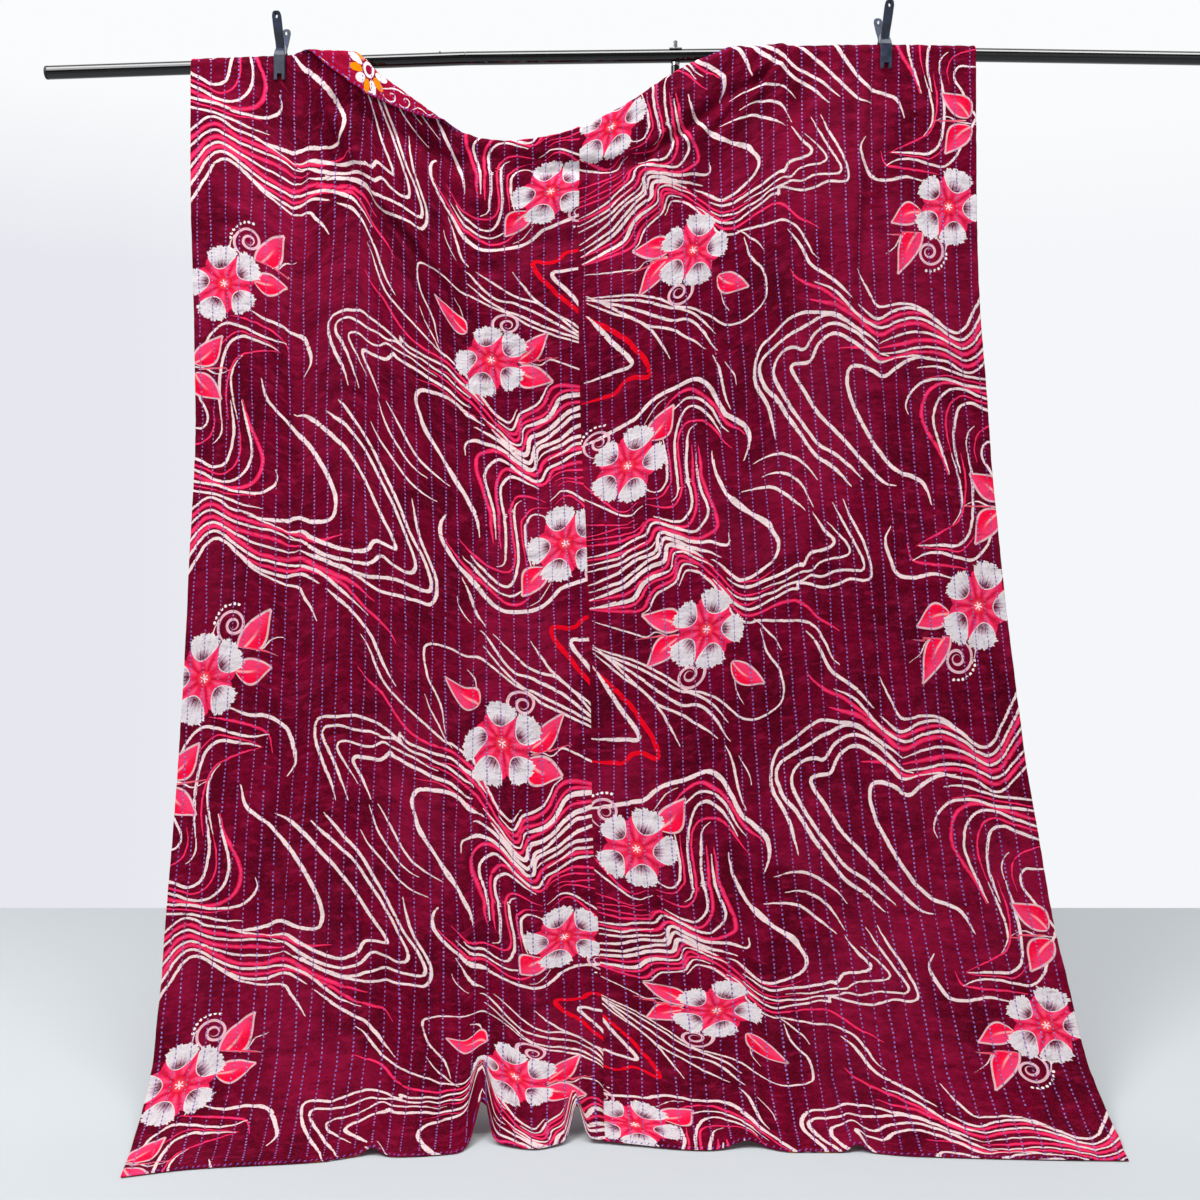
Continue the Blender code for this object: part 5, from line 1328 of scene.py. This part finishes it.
def flower_print(net, col, mottle, patchy):
    x, y, inside = net.parts(net.attribute("print_flower"))
    radius, angle, folded = folded_angle(net, x, y, PETALS)
    number = net.math("ROUND", angle / (2 * math.pi / PETALS))
    # Each petal leans and swells a little differently.
    lean = net.sin(number * 2.4 + 1.3) * 0.16
    size = 1.0 + net.sin(number * 4.1) * 0.05
    radius_here = radius / size
    turned = folded + lean * net.step(radius, 0.3, 0.95)
    along = radius_here * net.cos(turned)
    beside = radius_here * net.sin(turned)
    shown = net.step(inside, 0.9, 0.99)

    def oval(centre, half_long, half_wide):
        return net.far((along - centre) / half_long, beside / half_wide)

    # The cup of each petal, with a frilled rim.
    cup_x = (along - 0.71) / 0.31
    cup_y = beside / (0.36 + cup_x * 0.12)
    cup = net.far(cup_x, cup_y)
    around = net.math("ARCTAN2", cup_y, cup_x)
    frill = net.sin(around * 13.0 + number * 2.0) * 0.06
    frill = frill + net.sin(around * 31.0 + number) * 0.045
    frill = frill + (mottle - 0.5) * 0.3
    rim = 1.0 + (frill + 0.02) * net.step(cup_x, -0.1, 0.5)
    depth = rim - cup
    in_cup = net.step(depth, -0.03, 0.03)
    fan = beside / (along + 0.25)
    streak = net.sin(fan * 58.0) * 0.07
    streak = streak + net.sin(fan * 97.0 + 2.0) * 0.06
    streak = streak + (patchy - 0.5) * 0.3
    blot = oval(0.44, 0.27, 0.30)
    pale = net.step(blot + streak * 1.5, 0.22, 1.0)
    cup_dye = net.mix(pale, colour(104, 18, 54), colour(218, 210, 214))
    shade = net.step(pale, 0.25, 0.6) * net.step(pale, 1.0, 0.7)
    cup_dye = net.mix(shade * 0.7, cup_dye, colour(196, 152, 172))
    cup_dye = net.mix(net.step(mottle, 0.48, 0.72) * 0.55, cup_dye, colour(186, 172, 180))
    grey = net.sin(fan * 41.0) * 0.5 + (patchy - 0.5) * 2.0
    cup_dye = net.mix(net.step(grey, 0.2, 0.8) * 0.35, cup_dye, colour(170, 150, 164))
    cup_dye = net.mix(net.step(depth, 0.1, 0.04) * 0.9, cup_dye, colour(234, 222, 224))
    # The pink body wraps the cups' sides and meets round the middle.
    flank = oval(0.50, 0.40, 0.44)
    body = net.most(net.step(flank + (patchy - 0.5) * 0.14, 1.03, 0.97), net.step(radius, 0.47, 0.44))
    spread = net.size(turned) / (math.pi / PETALS)
    body_dye = net.mix(net.step(radius, 0.12, 0.50), colour(216, 6, 50), colour(236, 36, 88))
    ridge = net.step(spread, 0.2, 0.5) * (net.step(spread, 0.85, 0.62) * net.step(radius, 0.16, 0.36))
    body_dye = net.mix(ridge * 0.7, body_dye, colour(244, 86, 128))
    crease = net.step(spread, 0.8, 1.0) * (net.step(radius, 0.1, 0.26) * net.step(radius, 0.95, 0.5))
    body_dye = net.mix(crease * 0.7, body_dye, colour(176, 0, 40))
    body_dye = net.mix(net.step(mottle, 0.48, 0.8) * 0.25, body_dye, colour(255, 120, 150))
    glow = net.step(radius + (mottle - 0.5) * 0.1, 0.2, 0.07)
    body_dye = net.mix(glow * 0.6, body_dye, colour(255, 96, 110))
    star = net.step(net.cos(angle * 6.0), -0.6, 1.0) * 0.075
    heart = net.step(0.028 + star - radius, -0.012, 0.012)
    col = net.mix(body * shown, col, body_dye)
    col = net.mix(heart * body * shown, col, colour(250, 222, 222))
    return net.mix(in_cup * shown, col, cup_dye)


def backing_cotton(name):
    net = Net(bpy.data.materials.new(name))
    flat = net.attribute("flat")
    ground = ground_colour(net, flat, colour(132, 3, 38), colour(156, 5, 50), colour(172, 28, 66))
    patchy = net.noise(flat, (60.0, 75.0, 1.0), 3.0, 0.6)
    white = net.mix(net.step(patchy, 0.5, 0.8), colour(228, 214, 216), colour(212, 176, 186))
    wobble = (patchy - 0.5) * 1.6
    cream, _, _, _, _ = line_masks(net, "back_lines", LINE_LAYERS["back"], wobble, 1.0)
    col = net.mix(cream, ground, white)
    x, y, inside = net.parts(net.attribute("back_daisy"))
    radius, angle, folded = folded_angle(net, x, y, DAISY_PETALS)
    shown = net.step(inside, 0.9, 0.99)
    along = (radius * net.cos(folded) - 0.68) / 0.3
    beside = radius * net.sin(folded) / 0.16
    petal = net.far(along, beside)
    count = net.math("ROUND", angle / (2 * math.pi / DAISY_PETALS))
    odd = net.size(net.math("MODULO", count, 2.0))
    petal_dye = net.mix(net.step(odd, 0.4, 0.6), colour(226, 216, 218), colour(234, 132, 6))
    col = net.mix(net.step(petal, 1.04, 0.94) * shown, col, petal_dye)
    ring = net.step(radius, 0.33, 0.3) * net.step(radius, 0.17, 0.2)
    col = net.mix(ring * shown, col, colour(228, 218, 220))
    rough = net.between(patchy, 0.0, 1.0, 0.78, 0.95)
    return net.set(Base_Color=col, Roughness=rough, Normal=cloth_bump(net, flat), Specular_IOR_Level=0.04)


def thread(name, shade, dark):
    net = Net(bpy.data.materials.new(name))
    at = net.place()
    tone = net.noise(at, 300.0, 2.0)
    col = net.mix(net.step(tone, 0.35, 0.7), dark, shade)
    twist = net.noise(at, (900.0, 900.0, 3200.0), 1.0)
    return net.set(Base_Color=col, Roughness=net.step(tone, -1.2, 1.4), Normal=net.bump(twist, 0.4, 0.0002))


def black_enamel(name):
    """Glossy black lacquer with faint orange peel and a few dull handling marks."""
    net = Net(bpy.data.materials.new(name))
    at = net.place()
    marks = net.noise(at, 26.0, 4.0, 0.65)
    fine = net.noise(at, (40.0, 900.0, 900.0), 2.0)
    tone = net.mix(net.step(marks, 0.45, 0.8), colour(5, 5, 6), colour(13, 13, 15))
    rough = net.between(marks + fine * 0.3, 0.3, 1.0, 0.1, 0.26)
    peel = net.noise(at, 420.0, 1.0)
    net.set(Specular_IOR_Level=0.03, Coat_Weight=1.0, Coat_Roughness=0.05)
    return net.set(Base_Color=tone, Roughness=rough, Normal=net.bump(peel, 0.03, 0.0003))


def moulded_plastic(name, dark, light, low, high):
    net = Net(bpy.data.materials.new(name))
    at = net.place()
    tone = net.noise(at, 60.0, 3.0, 0.6)
    grain = net.noise(at, 1500.0, 2.0)
    col = net.mix(net.step(tone, 0.35, 0.75), dark, light)
    rough = net.between(tone * 0.7 + grain * 0.3, 0.0, 1.0, low, high)
    return net.set(Base_Color=col, Roughness=rough, Normal=net.bump(grain, 0.10, 0.0003))


def steel(name, dark, light, low, high):
    net = Net(bpy.data.materials.new(name))
    at = net.place()
    brushed = net.noise(at, (60.0, 60.0, 2400.0), 3.0, 0.6)
    stain = net.noise(at, 80.0, 4.0, 0.6)
    col = net.mix(net.step(stain, 0.40, 0.75), light, dark)
    rough = net.between(brushed * 0.5 + stain * 0.5, 0.0, 1.0, low, high)
    return net.set(Base_Color=col, Metallic=1.0, Roughness=rough, Normal=net.bump(brushed, 0.08, 0.0002))


# -------------------------------------------------------------------- pieces
PRINTED, BACKING = 1, -1
WHIP_PITCH = 0.0088
WHIP_LENGTH = 0.0060
EDGE_TO_WHIP = 0.0034
INSIDE_EDGE = 0.0001
WORLD_COLOUR = colour(245, 246, 249)
WALL_LEFT = colour(231, 232, 239)
WALL_ABOVE = colour(251, 252, 253)
# Where the world's light changes along Y plus half of Z, and its strength in the room and at the wall.
WORLD_SHARE = (-0.12, 0.50, 0.21, 1.0)
# The same along Z for directions below the floor.
WORLD_BELOW = (-0.01, -0.06, 0.0, 0.8)


def cloth_piece(cloth, name, low, high, side, material, print_of):
    """One layer as a fine grid from one even place across to another, over the quilt's whole length."""
    even, length = np.meshgrid(column_lines(low, high, side), length_lines(side))
    points, _, across = cloth.side(even, length, side)
    rows, count = even.shape
    mesh = mesh_of(name, points.reshape(-1, 3), grid_faces(rows, count, side < 0))
    flat = np.stack([across, length, even], -1).reshape(-1, 3)
    add_vector(mesh, "flat", flat)
    add_map(mesh, np.stack([(flat[:, 0] - low) / (high - low), 1 - flat[:, 1] / QUILT_LENGTH], -1))
    print_of(mesh, flat[:, 0], flat[:, 1])
    return add_piece(name, mesh, material)


def left_print(mesh, across, length):
    add_print(mesh, warp_of(LEFT_PRINT)(across, length))


def right_print(mesh, across, length):
    add_print(mesh, warp_of(RIGHT_PRINT)(QUILT_WIDTH - across, -length))


def back_print(mesh, across, length):
    add_back_print(mesh, np.stack([across, length], -1))


# A stitch, in shares of its length, width and height, and its faces.
TENT_CORNERS = (
    (-0.5, -0.5, -0.25), (0.5, -0.5, -0.25), (0.5, 0.5, -0.25), (-0.5, 0.5, -0.25),
    (-0.28, 0.0, 1.0), (0.28, 0.0, 1.0),
)
TENT_FACES = np.array([[4, 5, 1], [4, 1, 0], [5, 4, 3], [5, 3, 2], [4, 0, 3], [5, 2, 1]])


def tents(cloth, even, length, along_even, along_length, side, size):
    """Points and faces of small raised stitches: a ridge over four corners, each at a place on the cloth, set
    along the given direction (of length 1) in the flat cloth."""
    long, wide, high = size
    points = []
    for u, v, rise in TENT_CORNERS:
        at_even = even + along_even * u * long - along_length * v * wide
        at_length = length + along_length * u * long + along_even * v * wide
        at_even = np.clip(at_even, INSIDE_EDGE, QUILT_WIDTH - INSIDE_EDGE)
        at_length = np.clip(at_length, INSIDE_EDGE, QUILT_LENGTH - INSIDE_EDGE)
        points.append(cloth.side(at_even, at_length, side, lift=rise * high)[0])
    points = np.stack(points, 1)
    faces = ((np.arange(len(even)) * len(TENT_CORNERS))[:, None, None] + TENT_FACES[None]).reshape(-1, 3)
    if side < 0:
        faces = faces[:, ::-1]
    return points.reshape(-1, 3), faces


def running_stitches(cloth, rows, side, seed):
    """Running stitches of every row; the other side shows them where this side has its gaps."""
    chance = np.random.RandomState(seed)
    count = int(QUILT_LENGTH / STITCH_PITCH) - 2
    row, number = (grid.ravel() for grid in np.meshgrid(rows, np.arange(count)))
    start = 0.008 + STITCH_PITCH * ((row * 0.37) % 1) * 0.6 + (STITCH_PITCH / 2 if side < 0 else 0)
    length = start + number * STITCH_PITCH + chance.uniform(-0.0007, 0.0007, len(row))
    even = ROW_FIRST + row * ROW_PITCH + chance.uniform(-0.00035, 0.00035, len(row))
    fine = (length < QUILT_LENGTH - 0.006) & (chance.uniform(0, 1, len(row)) > 0.012)
    x = cloth.side(even, length, side)[0]
    fine &= held_flat(x[:, 0], x[:, 2]) < 0.3
    even, length = even[fine], length[fine]
    lean = chance.normal(0, 0.06, len(even))
    size = (STITCH_LENGTH, STITCH_WIDTH, STITCH_HEIGHT)
    return tents(cloth, even, length, np.sin(lean), np.cos(lean), side, size)


def whip_stitches(cloth, low, high, side, seed):
    """Slanted stitches over the top and bottom edges."""
    chance = np.random.RandomState(seed)
    evens, lengths, slants = [], [], []
    for edge, lean in ((EDGE_TO_WHIP, 0.5), (QUILT_LENGTH - EDGE_TO_WHIP, -0.5)):
        even = np.arange(low + 0.005, high - 0.004, WHIP_PITCH)
        even = even + chance.uniform(-0.001, 0.001, len(even))
        evens.append(even)
        slants.append(lean + chance.normal(0, 0.12, len(even)))
        lengths.append(np.full(len(even), edge))
    even, length, slant = map(np.concatenate, (evens, lengths, slants))
    size = (WHIP_LENGTH, STITCH_WIDTH, STITCH_HEIGHT)
    return tents(cloth, even, length, np.sin(slant), np.cos(slant), side, size)


SEAM = QUILT_WIDTH / 2
# Each sheet: its threads' name, the CAD node it replaces, that node's slot, its side, the even places it runs
# from and to, and what writes its print.
SHEETS = {
    "printed_panel_left": ("left", "face_panel_left", "printed_cotton", PRINTED, 0.0, SEAM, left_print),
    "printed_panel_right": (
        "right", "face_panel_right", "printed_cotton", PRINTED, SEAM, QUILT_WIDTH, right_print,
    ),
    "reverse_cloth": ("rear", "backing", "backing_cotton", BACKING, 0.0, QUILT_WIDTH, back_print),
}


def make_cloth():
    """Sheets and stitches, each hung on what carries it, with the CAD node it stands for hidden."""
    cloth = Cloth()
    cottons = {PRINTED: printed_cotton("printed cotton"), BACKING: backing_cotton("reverse cotton")}
    lilac = thread("lilac thread", colour(160, 124, 202), colour(98, 58, 150))
    violet = thread("violet thread", colour(128, 104, 206), colour(84, 62, 160))
    sheets = {
        name: cloth_piece(cloth, name, low, high, side, cottons[side], write)
        for name, (_, _, _, side, low, high, write) in SHEETS.items()
    }
    for seed, (name, (part, node, slot, side, low, high, _)) in enumerate(SHEETS.items()):
        rows = range(round(low / ROW_PITCH), round(high / ROW_PITCH))
        running = mesh_of(f"running stitches {part}", *running_stitches(cloth, rows, side, seed))
        edging = mesh_of(f"edge stitches {part}", *whip_stitches(cloth, low, high, side, seed + 10))
        threads = [
            add_piece(f"running_stitches_{part}", running, lilac),
            add_piece(f"edge_stitches_{part}", edging, violet),
        ]
        sheet = sheets[name]
        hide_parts(node)
        for piece in (*threads, sheet):
            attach(piece, "root")


def finish_hardware(frame):
    enamel = black_enamel("black enamel")
    plastic = moulded_plastic("clip plastic", colour(28, 35, 52), colour(48, 59, 86), 0.26, 0.46)
    knob = moulded_plastic("black plastic", colour(16, 16, 18), colour(28, 28, 31), 0.40, 0.60)
    spring = steel("spring steel", colour(96, 98, 104), colour(150, 152, 158), 0.25, 0.45)
    bright = steel("bright steel", colour(190, 190, 192), colour(232, 232, 234), 0.10, 0.26)
    rubber = moulded_plastic("rubber", colour(20, 20, 21), colour(34, 34, 36), 0.65, 0.90)
    finishes = (
        (("clip_left_spring", "clip_right_spring"), spring, "spring_steel"),
        (("clip",), plastic, "black_plastic"),
        (("spigot",), bright, "bright_steel"),
        (("foot",), rubber, "rubber"),
        (("bar_lock", "bar_plug", "post_knob", "post_collar"), knob, "black_plastic"),
        (("upper_hub", "lower_hub"), knob, "black_plastic"),
        (("",), enamel, "black_enamel"),
    )
    cloth_nodes = {row[1] for row in SHEETS.values()}
    for name, node in frame["nodes"].items():
        if name in cloth_nodes:
            continue
        _, finish, slot = next(row for row in finishes if name.startswith(row[0]))
        node.data.materials.clear()
        node.data.materials.append(finish)


# --------------------------------------------------------------------- stage
FLOOR_FAR = 0.73
FLOOR_NEAR = -5.0
FLOOR_HALF_WIDTH = 6.0
CAMERA_PLACE = (-0.214, -2.4075, 0.88)
CAMERA_LENS = 41.04
CAMERA_SHIFT = (0.0333, -0.0633)


def floor_material():
    net = Net(bpy.data.materials.new("studio floor"))
    at = net.place()
    soft = net.noise(at, 0.9, 3.0, 0.5)
    col = net.mix(soft, colour(192, 198, 201), colour(202, 208, 211))
    return net.set(Base_Color=col, Roughness=net.step(soft, -1.5, 1.6), Specular_IOR_Level=0.2)


def area_light(name, place, target, size, energy):
    data = bpy.data.lights.new(name, "AREA")
    data.shape = "RECTANGLE"
    data.size, data.size_y = size
    data.energy = energy
    obj = bpy.data.objects.new(name, data)
    obj.location = place
    obj.rotation_euler = (Vector(target) - Vector(place)).to_track_quat("-Z", "Y").to_euler()
    bpy.context.scene.collection.objects.link(obj)
    return obj


def studio_world():
    """Walls and ceiling are bright and the room in front is dim, so that the folds keep their shade."""
    net = Net(bpy.data.worlds.new("studio"), "Background")
    x, y, z = net.parts(net.put("ShaderNodeTexCoord")[0])
    strength = net.between(y + z * 0.5, *WORLD_SHARE, kind="SMOOTHSTEP")
    # Past the floor's far edge the ground goes on as bright as the floor.
    strength = net.most(strength, net.between(z, *WORLD_BELOW))
    # The wall is a little darker to the left and brighter above.
    col = net.mix(net.between(x, -0.02, -0.30), WORLD_COLOUR, WALL_LEFT)
    col = net.mix(net.between(z, 0.18, 0.30), col, WALL_ABOVE)
    return net.set(Color=col, Strength=strength)


def make_stage():
    xs = np.linspace(-FLOOR_HALF_WIDTH, FLOOR_HALF_WIDTH, 25)
    ys = np.linspace(FLOOR_NEAR, FLOOR_FAR, 13)
    x, y = np.meshgrid(xs, ys)
    points = np.stack([x, y, np.full_like(x, -0.0005)], -1).reshape(-1, 3)
    mesh = mesh_of("studio floor", points, grid_faces(len(ys), len(xs), True))
    floor = add_piece("studio_floor", mesh, floor_material())
    lights = [
        area_light("key light", (-1.7, -1.7, 3.0), (0.0, 0.0, 1.3), (1.2, 1.2), 40.0),
        area_light("strip light", (-0.4, -0.85, 3.5), (-0.4, 0.0, 1.4), (4.6, 0.36), 80.0),
        area_light("fill light", (2.4, -3.0, 1.6), (0.0, 0.0, 0.9), (2.0, 2.0), 8.0),
    ]
    bpy.context.scene.world = studio_world()
    view = bpy.context.scene.view_settings
    view.view_transform = "Standard"
    view.look = "None"


def make_camera():
    data = bpy.data.cameras.new("photo camera")
    data.sensor_width = 36.0
    data.lens = CAMERA_LENS
    data.shift_x, data.shift_y = CAMERA_SHIFT
    data.dof.use_dof = False
    camera = bpy.data.objects.new("photo camera", data)
    camera.location = CAMERA_PLACE
    camera.rotation_euler = (math.pi / 2, 0.0, 0.0)
    bpy.context.scene.collection.objects.link(camera)
    bpy.context.scene.camera = camera


def main():
    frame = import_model()
    make_cloth()
    finish_hardware(frame)
    make_stage()
    make_camera()


main()
